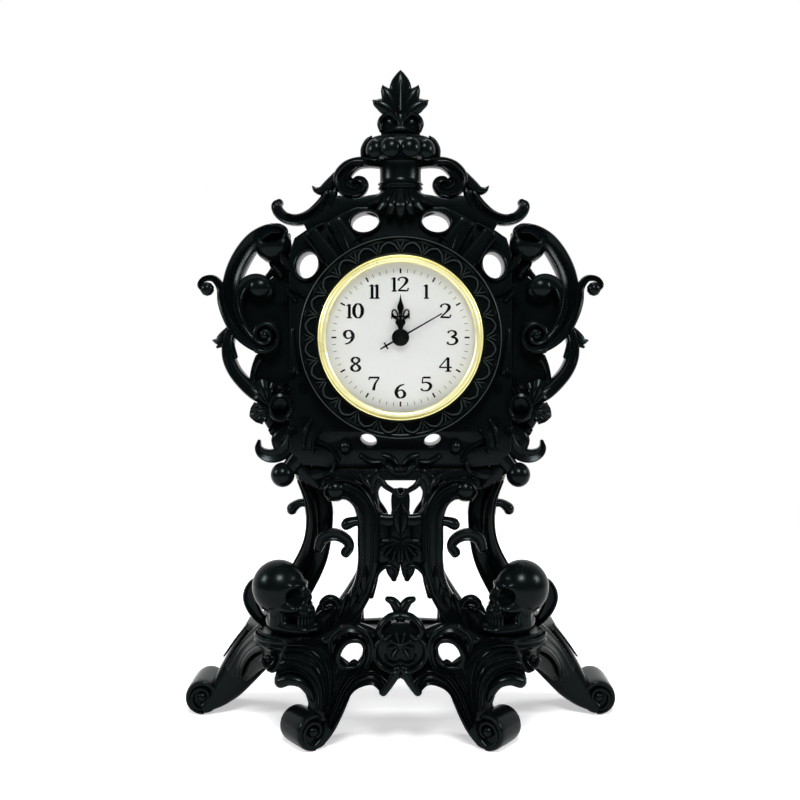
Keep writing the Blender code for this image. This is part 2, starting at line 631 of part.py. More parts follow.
def legs():
    """The rear pair steps out sideways and the front pair diagonally forward."""
    shift = REAR_FOOT_X - DRAWN_REAR_FOOT * MM
    for word, side in (("left", -1), ("right", 1)):
        over = mm(REAR_LEG_OVER[:1]) + [(x + shift, z) for x, z in mm(REAR_LEG_OVER[1:])]
        under = [(x + shift, z) for x, z in mm(REAR_LEG_UNDER[:-1])] + mm(REAR_LEG_UNDER[-1:])
        frame = Matrix.Diagonal((side, 1, 1, 1)) @ upright(REAR_LEG_Y)
        leg("leg_rear_" + word, over + rolled_foot(REAR_FOOT_X) + under, REAR_FOOT_X, REAR_FOOT_WIDTH, frame)
        outline = mm(FRONT_LEG_OVER) + rolled_foot(0) + mm(FRONT_LEG_UNDER)
        leg("leg_front_" + word, outline, 0, FRONT_FOOT_WIDTH, leg_plane(side))


def skulls():
    """Two small skulls that stand on their pads and look inward and forward, each the other's mirror image."""
    k = SKULL_WIDTH / (DRAWN_SKULL * MM)
    turn = (Matrix.Translation((-SKULL_X, SKULL_Y, PAD_TOP + GAP))
            @ Matrix.Rotation(SKULL_TURN, 4, "Z") @ Matrix.Scale(k, 4))

    def oval(name, centre, radii, segments=6, rings=4):
        return ball(name, [v * MM for v in centre], [v * MM for v in radii], turn, segments, rings)

    def box(name, low, high, bevel=0.0):
        return block(name, [v * MM for v in low], [v * MM for v in high], turn, bevel * MM)

    left = oval("skull_left", (0, 0.4, 19), (11.2, 12.2, 11.7), 12, 7)
    parts = [box("face", (-6.4, -12.4, 5), (6.4, -2, 18), 2.2),
             box("jaw", (-5.8, -20, 0), (5.8, 5, 5.8), 1.8),
             box("teeth", (-5.2, -17.6, 5), (5.2, -6, 12), 1.2),
             oval("brow", (0, -7.6, 18.8), (8.8, 4.8, 2.8), 8, 4)]
    for x in (-6.8, 6.8):
        parts.append(oval("cheek", (x, -8.2, 10.4), (2.6, 4.6, 2.2)))
    combine(left, parts)
    cuts = [oval("eye", (x, -13, 15), (3.5, 4.2, 3.4), 8, 4) for x in (-4.7, 4.7)]
    cuts.append(oval("nose", (0, -14.6, 13.4), (1.5, 3, 1.9), 6, 4))
    for x in (-2.6, 0, 2.6):
        cuts.append(box("tooth_gap", (x - 0.22, -19, 6.4), (x + 0.22, -16.6, 9.8)))
    combine(left, cuts, "DIFFERENCE")
    left = finished(left, RESIN, weld=WELD)
    right = mesh_object("skull_right", left.data.copy())
    finished(shaped(right, Matrix.Diagonal((-1, 1, 1, 1))), RESIN)


# Waist

def frame(word, y, facing):
    """Front or back frame of the waist: two scrolled columns either side of a pierced panel."""
    holes = [in_waist_loop(HEART_HOLE)]
    for side in (-1, 1):
        x, z, radius = SLIT_HOLE
        (x, z), = in_waist([(x, z)])
        holes.append(circle((side * x * MM, z * MM), radius * MM, 8, 1.9))
    half = mm(in_waist(PANEL_HALF))
    half[-2] = (half[-2][0], HOUSING_BOTTOM - GAP - 0.001)
    half[-1] = (0, HOUSING_BOTTOM - GAP - 0.001)
    made = plate("waist_" + word, both_sides(half), PANEL_THICKNESS, upright(y), holes)
    joined = []
    ray_centre = in_waist([(0, 79)])[0]
    for i in range(SHELL_RAYS):
        angle = math.radians(90 + (i - (SHELL_RAYS - 1) / 2) * 36)
        reach = 8.6 + 1.6 * math.sin(angle)
        ray = [(2.8 * math.cos(angle), ray_centre[1] + 2.8 * math.sin(angle), 0.7),
               (reach * math.cos(angle), ray_centre[1] + reach * math.sin(angle), 1.6)]
        lifted = upright(y + facing * (PANEL_THICKNESS / 2))
        joined.append(band("shell_ray", mm(ray), 0.0032, lifted, sides=4))
    for side in (-1, 1):
        stem = on_side(in_waist(COLUMN), side)
        stem[0] = (stem[0][0], DECK_TOP - 0.002, stem[0][2])
        joined.append(band("column", stem, FRAME_DEPTH, upright(y), 5))
        foot = on_side(in_waist(COLUMN_FOOT), side)
        foot[0] = (foot[0][0], DECK_TOP - 0.002, foot[0][2])
        joined.append(band("column_foot", foot, FRAME_DEPTH - 0.002, upright(y), 5))
        x, z, radius = in_waist([COLUMN_HEAD])[0]
        joined.append(rod("column_head", radius * MM, y - FRAME_DEPTH / 2 - HEAD_PROUD,
                          y + FRAME_DEPTH / 2 + HEAD_PROUD, side * x * MM, z * MM, 10))
        for name, points, deep in (("hook", COLUMN_HOOK, 0.006), ("cross", CROSS_SCROLL, 0.007),
                                   ("curl", INNER_CURL, 0.008)):
            joined.append(band(name, on_side(in_waist(points), side), deep, upright(y), 4))
    top = HOUSING_BOTTOM - GAP
    joined.append(block("cap", (-CAP_HALF_WIDTH, y - 0.4 * FRAME_DEPTH, top - CAP_HEIGHT),
                        (CAP_HALF_WIDTH, y + 0.4 * FRAME_DEPTH, top)))
    combine(made, joined)
    low = block("trim", (-0.05, y - 0.02, DECK_TOP - 0.02), (0.05, y + 0.02, DECK_TOP + GAP))
    combine(made, [low], "DIFFERENCE")
    return finished(made, RESIN, weld=WELD)


def in_waist_loop(points):
    """A closed hole of the waist's drawing, in metres."""
    return mm(in_waist(points))


def blade(word, side):
    """The bowed side blade that stands on a rear block behind the skull and carries the housing's corner."""
    path = on_side(in_waist(BLADE), side)
    low = REAR_BLOCK_TOP + GAP
    high = HOUSING_BOTTOM - GAP
    path[0] = (path[0][0], low - 0.002, path[0][2])
    path[-1] = (path[-1][0], high + 0.002, path[-1][2])
    made = band("side_blade_" + word, path, BLADE_DEPTH, upright(BLADE_Y), 6)
    combine(made, [band("blade_hook", on_side(in_waist(BLADE_HOOK), side), 0.006, upright(BLADE_Y))])
    reach = 0.03
    x = side * 0.052
    ends = [block("end", (x - reach, -reach, low - reach), (x + reach, reach, low)),
            block("end", (x - reach, -reach, high), (x + reach, reach, high + reach))]
    combine(made, ends, "DIFFERENCE")
    return finished(made, RESIN, weld=WELD)


# Housing

def housing():
    """The drum that takes the insert, the ring with its scallops and the pierced plate round it."""
    outline = mm(on_plate(PLATE_HALF))
    middle = (PLATE_FRONT_Y + PLATE_BACK_Y) / 2
    depth = PLATE_BACK_Y - PLATE_FRONT_Y
    holes = []
    for side in (-1, 1):
        for hole, count in ((TOP_HOLE, 10), (FOOT_HOLE, 8)):
            holes.append(flat_circle(on_plate([hole])[0], side, count))
    made = plate("dial_housing", both_sides(outline), depth, upright(middle), holes)
    drum = rod("drum", RING_OUTER, SEAT_Y + RING_STEP, CASE_BACK_Y, sides=ROUND_STEPS)
    joined = [drum]
    for side in (-1, 1):
        joined.append(band("lower_hook", on_side(on_plate(LOWER_HOOK), side), 0.010, upright(-0.002), 5))
        x, z, radius = mm(on_plate([BALL]))[0]
        joined.append(ball("corner_ball", (side * x, -0.005, z), (radius, radius, radius), None, 9, 6))
        x, z, radius = mm(on_plate([SHOULDER_BALL]))[0]
        joined.append(ball("shoulder_ball", (side * x, -0.0085, z), (radius, radius, radius), None, 8, 4))
        x, z, radius = mm(on_plate([ROSETTE]))[0]
        joined.append(tube("rosette", radius + 0.0009, radius - 0.0012, -0.0105, 0.004, side * x, z))
        for strap in STRAPS:
            joined.append(band("strap", on_side(on_plate(strap), side), 0.006, upright(-0.0085), 4))
    combine(made, joined)
    past = 0.005
    bore = rod("bore", BORE_RADIUS, SEAT_Y - past, CASE_BACK_Y + past, sides=ROUND_STEPS)
    cuts = [bore]
    for side in (-1, 1):
        cuts.append(drum_cutter("side_hole", on_plate([SIDE_HOLE])[0], side, -0.02, 0.02, 10))
    combine(made, cuts, "DIFFERENCE")
    return finished(made, RESIN, weld=WELD)


def dial_ring():
    """The dished ring pressed over the front of the drum, with a row of scallops round the bezel."""
    front = 0.0026
    seat = RING_STEP - GAP
    inner = BORE_RADIUS + GAP
    profile = [(RING_OUTER, 0.0), (RING_OUTER, front - 0.0006), (RING_OUTER - 0.0008, front),
               (RING_OUTER - 0.0016, front - 0.0008), (BEZEL_RADIUS + 0.0036, seat + 0.0002),
               (BEZEL_RADIUS + 0.0006, seat), (inner, seat), (inner, 0.0)]
    made = turned("dial_ring", list(reversed(profile)), ROUND_STEPS, forward(SEAT_Y + seat))
    return finished(made, RESIN, weld=WELD)


# Wings

def wing(word, side):
    """A side casting: C-scrolls, a volute, a hooked stem and a leaf spur on a thin web."""
    web = [(side * x, z) for x, z in mm(beside_plate(WING_WEB))]
    made = plate("wing_" + word, web, 0.008, upright(0.001))

    def sweep(name, points, deep, y, sides=5):
        return band(name, on_side(beside_plate(points), side), deep, upright(y), sides)

    x, z, radius = beside_plate([WING_CURL])[0]
    curl = rod("curl", radius * MM, -0.009, 0.008, side * x * MM, z * MM, 12)
    volute = spiral(WING_VOLUTE, 9.4, 3.2, -62, -1.4, 1.6, 0.9, 11)
    x, z = beside_plate([WING_VOLUTE])[0]
    boss = rod("volute_boss", 0.0021, -0.0085, 0.0, side * x * MM, z * MM, 10)
    spur = [(side * x, z) for x, z in mm(beside_plate(WING_SPUR))]
    combine(made, [
        curl,
        sweep("outer_scroll", WING_OUTER, 0.014, 0.0),
        sweep("stem", WING_STEM, 0.012, -0.001),
        sweep("inner_scroll", WING_INNER, 0.013, -0.002),
        sweep("volute", volute, 0.010, -0.003, 4),
        boss,
        plate("spur", spur, 0.005, upright(0.0)),
        sweep("lower_scroll", WING_LOWER, 0.013, 0.0),
        sweep("leaf", WING_LEAF, 0.006, 0.0),
        sweep("cluster", WING_CLUSTER, 0.012, -0.001),
    ])
    eye = list(beside_plate([WING_CURL_EYE])[0])
    combine(made, [drum_cutter("eye", eye, side, -0.02, -0.004, 10)], "DIFFERENCE")
    return finished(made, RESIN, weld=WELD)


# Crest

def crest():
    """The crest on the housing: a turned neck between two C-scrolls with hooked arms."""
    neck = [(r * MM, z * MM) for r, z in over_housing(CREST_NECK)]
    made = turned("crest", neck, 12, Matrix())
    joined = []
    for side in (-1, 1):
        for name, points, deep, sides in (("c_scroll", CREST_BAND, CREST_DEPTH, 5),
                                          ("arm", CREST_ARM, CREST_DEPTH, 5),
                                          ("drop", CREST_DROP, 0.008, 4)):
            joined.append(band(name, on_side(over_housing(points), side), deep, upright(0.0), sides))
        leaf = [(side * x, z) for x, z in mm(over_housing(CREST_LEAF))]
        joined.append(plate("crest_leaf", leaf, 0.005, upright(0.0)))
        low = HOUSING_TOP + GAP
        joined.append(block("root", (min(side * 0.008, side * 0.0245), -0.005, low),
                            (max(side * 0.008, side * 0.0245), 0.005, low + 0.004)))
    combine(made, joined)
    return finished(made, RESIN, weld=WELD)


def urn():
    """The gadrooned bowl on the crest."""
    profile = [(r * MM, z * MM) for r, z in over_housing(URN)]
    made = turned("urn", profile, 16, Matrix())
    lobes = []
    for i in range(GADROONS):
        angle = math.tau * (i + 0.5) / GADROONS
        place = Matrix.Rotation(angle, 4, "Z")
        z = URN_BOTTOM + 0.0052 + HOUSING_TOP - DRAWN_TOP * MM
        lobes.append(ball("lobe", (URN_RADIUS - 0.0038, 0, z), (0.0034, 0.0036, 0.0046), place, 5, 4))
    combine(made, lobes)
    return finished(made, RESIN, weld=WELD)


def finial():
    """The leaf bud on the urn, with a curl at either side of its foot."""
    half = mm(over_housing(FINIAL_HALF))
    made = plate("finial", both_sides(half), FINIAL_THICKNESS, upright(), bevel=0.0012)
    joined = []
    for side in (-1, 1):
        x, z, radius = over_housing([FINIAL_CURL])[0]
        reach = FINIAL_THICKNESS / 2 + 0.0012
        joined.append(rod("curl", radius * MM, -reach, reach, side * x * MM, z * MM, 10))
    stalk = over_housing([(0, 272), (6.4, 272), (6.4, 268.3), (0, 268.3)])
    joined.append(turned("stalk", [(r * MM, z * MM) for r, z in stalk], 10, Matrix()))
    combine(made, joined)
    return finished(made, RESIN, weld=WELD)


# Insert

def insert_shell():
    """Bezel, lens, dial and cup, and the rubber band that grips the bore."""
    depth = BEZEL_DEPTH
    groove = BEZEL_RADIUS - BEZEL_WALL
    profile = [(groove, 0), (BEZEL_RADIUS, 0), (BEZEL_RADIUS, depth * 0.65),
               (BEZEL_RADIUS - 0.0012, depth), (BEZEL_OPENING, depth),
               (BEZEL_OPENING, depth - LIP_THICKNESS), (groove, depth - LIP_THICKNESS)]
    finished(turned("bezel", profile, ROUND_STEPS, forward(FLANGE_BACK_Y)), GILT)
    lens_front = BEZEL_FRONT_Y + LIP_THICKNESS + GAP
    finished(rod("lens", LENS_RADIUS, lens_front, lens_front + LENS_THICKNESS, sides=ROUND_STEPS), CLEAR)
    face = tube("dial", LENS_RADIUS, CASE_HOLE + 0.0002, DIAL_FRONT_Y, DIAL_BACK_Y, sides=ROUND_STEPS)
    finished(face, PAPER)
    back = FLANGE_BACK_Y + BARREL_DEPTH
    inner = BARREL_RADIUS - BARREL_WALL
    window = 0.0215
    top = FLANGE_THICKNESS + BARREL_DEPTH
    profile = [(LENS_RADIUS, top), (LENS_RADIUS, BARREL_DEPTH), (BARREL_RADIUS, BARREL_DEPTH),
               (BARREL_RADIUS, 0), (window, 0), (window, BARREL_WALL), (inner, BARREL_WALL), (inner, top)]
    finished(turned("insert_cup", profile, ROUND_STEPS, forward(back)), CUP_PLASTIC)
    start = FLANGE_BACK_Y + 0.003
    outer = BARREL_RADIUS + GAP + BAND_THICKNESS
    finished(tube("rubber_band", outer, BARREL_RADIUS + GAP, start, start + BAND_WIDTH, sides=ROUND_STEPS), RUBBER)


def hand(name, outline, holes, y, colour=BLACK):
    """A stamped hand on the dial's centre, flat at y."""
    lifted = [(x, z + DIAL_HEIGHT) for x, z in outline]
    pierced = [[(x, z + DIAL_HEIGHT) for x, z in hole] for hole in holes]
    return finished(plate(name, lifted, HAND_THICKNESS, upright(y), pierced), colour)


def hands():
    """Pierced hour and minute hands and a plain seconds hand, all as at 12:00:10."""
    hour_y = DIAL_FRONT_Y - HAND_STEP
    minute_y = hour_y - HAND_STEP
    second_y = minute_y - HAND_STEP
    k = HOUR_LENGTH / 14.2
    half = [(0, -2.9), (2.0, -2.2), (2.9, 0), (2.0, 2.2), (0.9, 3.0), (0.8, 7.0), (3.0, 8.2), (4.1, 10.4),
            (3.2, 12.0), (1.4, 11.8), (0.7, 12.6), (0, 14.2)]
    holes = [circle((0, 0), HOUR_RADIUS + GAP, 16)]
    for side in (-1, 1):
        holes.append(circle((side * 2.35 * k, 10.0 * k), 0.95 * k, 8))
    hand("hour_hand", both_sides([(x * k, z * k) for x, z in half]), holes, hour_y)
    k = MINUTE_LENGTH / 19
    half = [(0, -2.3), (1.6, -1.6), (2.3, 0), (1.6, 1.6), (0.6, 2.4), (0.5, 9.0), (1.5, 11.5), (1.1, 13.4),
            (0.35, 14.6), (0.2, 18.4), (0, 19)]
    bore = circle((0, 0), CANNON_RADIUS + GAP, 12)
    hand("minute_hand", both_sides([(x * k, z * k) for x, z in half]), [bore], minute_y)
    wide = 0.00022
    tail = -SECOND_TAIL
    blade_outline = [(-wide, tail), (wide, tail), (wide, -0.0008), (0.0012, -0.0006), (0.0012, 0.0006),
                     (wide, 0.0008), (wide * 0.6, SECOND_LENGTH), (-wide * 0.6, SECOND_LENGTH),
                     (-wide, 0.0008), (-0.0012, 0.0006), (-0.0012, -0.0006), (-wide, -0.0008)]
    lifted = [(x, z + DIAL_HEIGHT) for x, z in blade_outline]
    made = plate("seconds_hand", lifted, HAND_THICKNESS, upright(second_y))
    turn = math.radians(-60)
    spin = (Matrix.Translation((0, 0, DIAL_HEIGHT)) @ Matrix.Rotation(-turn, 4, "Y")
            @ Matrix.Translation((0, 0, -DIAL_HEIGHT)))
    made.data.transform(spin)
    cap_front = BEZEL_FRONT_Y + LIP_THICKNESS + 2 * GAP + LENS_THICKNESS
    cap = rod("cap", HUB_RADIUS, cap_front, second_y + HAND_THICKNESS / 2 - 0.00002, sides=18)
    socket = rod("socket", ARBOR_RADIUS + GAP, second_y - 0.0003, second_y + 0.002, sides=8)
    cross = block("cross", (-0.0014, second_y - HAND_THICKNESS / 2, DIAL_HEIGHT - 0.0075),
                  (0.0014, second_y + HAND_THICKNESS / 2, DIAL_HEIGHT - 0.0071), spin)
    combine(made, [cap, cross])
    finished(combine(made, [socket], "DIFFERENCE"), BLACK)


# Movement: levels are distances from the front of the module to the front of a wheel

HOUR_LEVEL = 0.0014
CANNON_LEVEL = 0.0023
CENTRE_LEVEL = 0.0032
THIRD_LEVEL = 0.0044
SECONDS_LEVEL = 0.0054
ROTOR_LEVEL = 0.0065
MAGNET_LEVEL = 0.0074
MAGNET_HEIGHT = 0.0018
MAGNET_RADIUS = 0.0028


def level(distance):
    """The Y of a level of the movement."""
    return MODULE_FRONT_Y + distance


def toothed(name, teeth, pitch_radius, front, x, z, phase=0.0, bore=None, thickness=WHEEL_THICKNESS):
    """A toothed disc: straight-sided teeth with play, from its front plane back."""
    tooth = 2 * pitch_radius / teeth
    tip = pitch_radius + 0.5 * tooth
    root = pitch_radius - 0.95 * tooth
    loop = []
    for i in range(teeth):
        for part, radius in ((0.0, tip), (0.5, root)):
            angle = math.tau * (i + part + phase) / teeth
            loop.append((x + radius * math.cos(angle), z + radius * math.sin(angle)))
    holes = [circle((x, z), bore, 8)] if bore else []
    return plate(name, loop, thickness, upright(front + thickness / 2), holes)


def axis_at(distance, degrees):
    """A wheel's centre, a distance from the hands' axis."""
    angle = math.radians(degrees)
    return distance * math.cos(angle), DIAL_HEIGHT + distance * math.sin(angle)


def mesh_phase(teeth, direction_degrees, of_tooth):
    """The phase that puts a tooth, or with 0.5 a gap, in a direction from the wheel's centre."""
    return (teeth * direction_degrees / 360.0 + of_tooth) % 1.0


MINUTE_WHEEL_DIRECTION = 120
THIRD_DIRECTION = 20
INTERMEDIATE_DIRECTION = -75
ROTOR_DIRECTION = -150


def train():
    """The going train from the rotor to the centre wheel, and the motion work behind the dial."""
    module_front = level(MODULE_WALL + GAP)
    module_back = MODULE_BACK_Y - MODULE_WALL - GAP
    zero = DIAL_HEIGHT

    x, z = axis_at(MOTION_DISTANCE, MINUTE_WHEEL_DIRECTION)
    facing = MINUTE_WHEEL_DIRECTION + 180
    pinion_module = MOTION_DISTANCE / ((LEAVES + MOTION_WHEEL_TEETH) / 2)
    hour = toothed("hour_wheel", MOTION_WHEEL_TEETH, MOTION_WHEEL_TEETH / 2 * pinion_module,
                   level(HOUR_LEVEL), 0, zero,
                   mesh_phase(MOTION_WHEEL_TEETH, MINUTE_WHEEL_DIRECTION, 0.5), (HOUR_BORE + HOUR_RADIUS) / 2)
    hour_front = DIAL_FRONT_Y - HAND_STEP - HAND_THICKNESS
    pipe = tube("hour_pipe", HOUR_RADIUS, HOUR_BORE, hour_front, level(HOUR_LEVEL + WHEEL_THICKNESS) + PIPE_PROUD)
    finished(combine(hour, [pipe]), GEAR_PLASTIC)

    minute = toothed("minute_wheel", MOTION_WHEEL_TEETH, MOTION_WHEEL_TEETH / 2 * MOTION_MODULE,
                     level(CANNON_LEVEL), x, z, mesh_phase(MOTION_WHEEL_TEETH, facing, 0.5))
    pinion = toothed("pinion", LEAVES, LEAVES / 2 * pinion_module, level(HOUR_LEVEL), x, z,
                     mesh_phase(LEAVES, facing, 0.0),
                     thickness=CANNON_LEVEL - HOUR_LEVEL + WHEEL_THICKNESS / 2)
    knob_front = MODULE_BACK_Y + GAP
    shaft = rod("shaft", 0.0008, module_front, knob_front + KNOB_LENGTH / 2, x, z)
    knob = toothed("knob", 16, KNOB_RADIUS, knob_front, x, z, thickness=KNOB_LENGTH)
    finished(combine(minute, [pinion, shaft]), GEAR_PLASTIC)
    knob.name = "setting_knob"
    socket = rod("knob_hole", 0.0008 + GAP, knob_front - 0.001, knob_front + KNOB_LENGTH / 2 + GAP, x, z)
    finished(combine(knob, [socket], "DIFFERENCE"), CUP_PLASTIC)

    cannon = toothed("cannon_pinion", CANNON_LEAVES, CANNON_LEAVES / 2 * MOTION_MODULE,
                     level(CANNON_LEVEL), 0, zero,
                     mesh_phase(CANNON_LEAVES, MINUTE_WHEEL_DIRECTION, 0.0),
                     (CANNON_BORE + CANNON_RADIUS) / 2)
    minute_front = DIAL_FRONT_Y - 2 * HAND_STEP - HAND_THICKNESS
    pipe = tube("cannon_pipe", CANNON_RADIUS, CANNON_BORE, minute_front,
                level(CANNON_LEVEL + WHEEL_THICKNESS) + PIPE_PROUD)
    finished(combine(cannon, [pipe]), STEEL)

    third_x, third_z = axis_at(THIRD_DISTANCE, THIRD_DIRECTION)
    facing = THIRD_DIRECTION + 180
    centre_module = THIRD_DISTANCE / ((LEAVES + CENTRE_WHEEL_TEETH) / 2)
    centre = toothed("centre_wheel", CENTRE_WHEEL_TEETH, CENTRE_WHEEL_TEETH / 2 * centre_module,
                     level(CENTRE_LEVEL), 0, zero,
                     mesh_phase(CENTRE_WHEEL_TEETH, THIRD_DIRECTION, 0.5), CANNON_BORE)
    finished(centre, GEAR_PLASTIC)
    third = toothed("third_wheel", THIRD_WHEEL_TEETH, THIRD_WHEEL_TEETH / 2 * TRAIN_MODULE,
                    level(THIRD_LEVEL), third_x, third_z, mesh_phase(THIRD_WHEEL_TEETH, facing, 0.5))
    pinion = toothed("pinion", LEAVES, LEAVES / 2 * centre_module, level(CENTRE_LEVEL), third_x, third_z,
                     mesh_phase(LEAVES, facing, 0.0), thickness=THIRD_LEVEL - CENTRE_LEVEL + WHEEL_THICKNESS / 2)
    arbor = rod("arbor", ARBOR_RADIUS, module_front, module_back, third_x, third_z, 6)
    finished(combine(third, [pinion, arbor]), GEAR_PLASTIC)

    seconds = toothed("seconds_wheel", SECOND_WHEEL_TEETH, SECOND_WHEEL_TEETH / 2 * TRAIN_MODULE,
                      level(SECONDS_LEVEL), 0, zero,
                      mesh_phase(SECOND_WHEEL_TEETH, INTERMEDIATE_DIRECTION, 0.5))
    pinion = toothed("pinion", LEAVES, LEAVES / 2 * TRAIN_MODULE, level(THIRD_LEVEL), 0, zero,
                     mesh_phase(LEAVES, THIRD_DIRECTION, 0.0), None,
                     SECONDS_LEVEL - THIRD_LEVEL + WHEEL_THICKNESS / 2)
    arbor = rod("arbor", ARBOR_RADIUS, DIAL_FRONT_Y - 3 * HAND_STEP, module_back, sides=6)
    finished(combine(seconds, [pinion, arbor]), GEAR_PLASTIC)

    mid_x, mid_z = axis_at(SECOND_DISTANCE, INTERMEDIATE_DIRECTION)
    facing = INTERMEDIATE_DIRECTION + 180
    angle = math.radians(ROTOR_DIRECTION)
    rotor_x = mid_x + ROTOR_DISTANCE * math.cos(angle)
    rotor_z = mid_z + ROTOR_DISTANCE * math.sin(angle)
    middle = toothed("intermediate_wheel", ROTOR_WHEEL_TEETH, ROTOR_WHEEL_TEETH / 2 * TRAIN_MODULE,
                     level(ROTOR_LEVEL), mid_x, mid_z,
                     mesh_phase(ROTOR_WHEEL_TEETH, ROTOR_DIRECTION, 0.5))
    pinion = toothed("pinion", LEAVES, LEAVES / 2 * TRAIN_MODULE, level(SECONDS_LEVEL), mid_x, mid_z,
                     mesh_phase(LEAVES, facing, 0.0), thickness=ROTOR_LEVEL - SECONDS_LEVEL + WHEEL_THICKNESS / 2)
    behind_centre = level(CENTRE_LEVEL + WHEEL_THICKNESS) + GAP
    arbor = rod("arbor", ARBOR_RADIUS, behind_centre, module_back, mid_x, mid_z, 6)
    finished(combine(middle, [pinion, arbor]), GEAR_PLASTIC)

    rotor = rod("rotor", MAGNET_RADIUS, level(MAGNET_LEVEL), level(MAGNET_LEVEL + MAGNET_HEIGHT),
                rotor_x, rotor_z, 16)
    pinion = toothed("pinion", LEAVES, LEAVES / 2 * TRAIN_MODULE, level(ROTOR_LEVEL), rotor_x, rotor_z,
                     mesh_phase(LEAVES, ROTOR_DIRECTION + 180, 0.0),
                     thickness=MAGNET_LEVEL - ROTOR_LEVEL + WHEEL_THICKNESS / 2)
    arbor = rod("arbor", ARBOR_RADIUS, module_front, module_back, rotor_x, rotor_z, 6)
    finished(combine(rotor, [pinion, arbor]), STEEL)
    return rotor_x, rotor_z


def module_case(rotor_x, rotor_z):
    """The movement's two shells and what sits between them: stator, coil, board, crystal and cell."""
    half_x = MODULE_WIDTH / 2
    half_z = MODULE_HEIGHT / 2
    low = DIAL_HEIGHT - half_z
    high = DIAL_HEIGHT + half_z
    front = MODULE_FRONT_Y
    split = MODULE_BACK_Y - MODULE_WALL
    made = block("movement_case", (-half_x, front, low), (half_x, split - GAP, high), None, 0.0008)
    hollow = block("hollow", (MODULE_WALL - half_x, front + MODULE_WALL, low + MODULE_WALL),
                   (half_x - MODULE_WALL, split + 0.01, high - MODULE_WALL))
    hole = rod("hole", CASE_HOLE, front - 0.01, front + 0.01, sides=16)
    finished(combine(made, [hollow, hole], "DIFFERENCE"), GEAR_PLASTIC)

    back = block("movement_back", (-half_x, split, low), (half_x, MODULE_BACK_Y, high))
    x, z = axis_at(MOTION_DISTANCE, MINUTE_WHEEL_DIRECTION)
    cuts = [rod("knob_hole", 0.0008 + GAP, split - 0.01, split + 0.01, x, z),
            rod("cell_hole", CELL_RADIUS + GAP, split - 0.01, split + 0.01, CELL_X, DIAL_HEIGHT + CELL_Z, 24)]
    finished(combine(back, cuts, "DIFFERENCE"), GEAR_PLASTIC)

    cell_back = MODULE_BACK_Y - 0.0002
    finished(rod("battery_cell", CELL_RADIUS, cell_back - CELL_HEIGHT, cell_back, CELL_X,
                 DIAL_HEIGHT + CELL_Z, 22), STEEL)
    under = cell_back - CELL_HEIGHT - GAP
    strip = block("contact_minus", (CELL_X - 0.0045, under - 0.0003, DIAL_HEIGHT + CELL_Z - 0.0015),
                  (CELL_X + 0.0045, under, DIAL_HEIGHT + CELL_Z + 0.0015))
    leg_down = block("leg", (CELL_X + 0.0042, front + MODULE_WALL + GAP, DIAL_HEIGHT + CELL_Z - 0.0015),
                     (CELL_X + 0.0045, under - 0.0001, DIAL_HEIGHT + CELL_Z + 0.0015))
    finished(combine(strip, [leg_down]), STEEL)
    side_x = CELL_X + CELL_RADIUS + GAP
    side = block("contact_plus", (side_x, front + MODULE_WALL + GAP, DIAL_HEIGHT + CELL_Z - 0.002),
                 (side_x + 0.0003, split - GAP, DIAL_HEIGHT + CELL_Z + 0.002))
    finished(side, STEEL)

    stator_y = level(MAGNET_LEVEL + 0.0004)
    bar = [(rotor_x - 0.0045, rotor_z - 0.0045), (rotor_x + 0.0038, rotor_z - 0.0045),
           (rotor_x + 0.0038, rotor_z + 0.0045), (rotor_x - 0.0115, rotor_z + 0.0045),
           (rotor_x - 0.0115, rotor_z + 0.0005), (rotor_x - 0.0045, rotor_z + 0.0005)]
    made = plate("stator", bar, 0.0008, upright(stator_y + 0.0004), [circle((rotor_x, rotor_z),
                 MAGNET_RADIUS + GAP, 16)])
    finished(made, STEEL)
    coil_x = rotor_x - 0.0094
    coil_top = rotor_z + 0.0045 + 0.0135
    spool = [(0.0024, 0.012), (0.0024, 0.0112), (0.0019, 0.0112), (0.0019, 0.0008), (0.0024, 0.0008),
             (0.0024, 0.0)]
    spool = [(0, 0.012), *spool, (0, 0)]
    place = Matrix.Translation((coil_x, stator_y + 0.0004, coil_top - 0.013))
    finished(turned("coil", spool, 14, place), COPPER)
    board_y = level(0.0073)
    right = half_x - MODULE_WALL - MODULE_MARGIN - GAP
    foot = axis_at(THIRD_DISTANCE, THIRD_DIRECTION)[1] + ARBOR_RADIUS + 0.0015
    board = block("circuit_board", (right - 0.016, board_y, foot),
                  (right, board_y + 0.0008, high - MODULE_WALL - MODULE_MARGIN - GAP))
    finished(board, BOARD)
    chip_y = board_y + 0.0008 + GAP
    finished(block("clock_chip", (right - 0.014, chip_y, foot + 0.004),
                   (right - 0.010, chip_y + 0.0009, foot + 0.008), None, 0.0003), BLACK)
    can = [(0, 0.006), (0.0009, 0.006), (0.001, 0.0057), (0.001, 0.0), (0, 0.0)]
    place = Matrix.Translation((right - 0.004, chip_y + 0.001, foot + 0.003))
    finished(turned("crystal_can", can, 12, place), STEEL)


def settle():
    """Moves the clock, drawn round the middle of its drum, to stand with the origin under its middle."""
    pieces = [piece.data for piece in CLOCK.objects]
    across = [vertex.co.y for data in pieces for vertex in data.vertices]
    shift = Matrix.Translation((0, -(min(across) + max(across)) / 2, 0))
    for data in pieces:
        data.transform(shift)


base()
legs()
skulls()
for word, side in (("left", -1), ("right", 1)):
    blade(word, side)
    wing(word, side)
frame("front", -FRAME_Y, -1)
frame("back", FRAME_Y, 1)
housing()
dial_ring()
crest()
urn()
finial()
insert_shell()
hands()
rotor_place = train()
module_case(*rotor_place)
settle()
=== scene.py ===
"""The looks of the skull table clock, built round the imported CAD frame.

Ornament is drawn in sheet units for the right side: (across, down) on a sheet 800 units wide that stands
where the camera looks, with 400.5 on the clock's middle. Each drawing names the depth in millimetres
at which it lies, so a stroke lands where it is seen. The left side is the mirror image.
"""

import json
import math

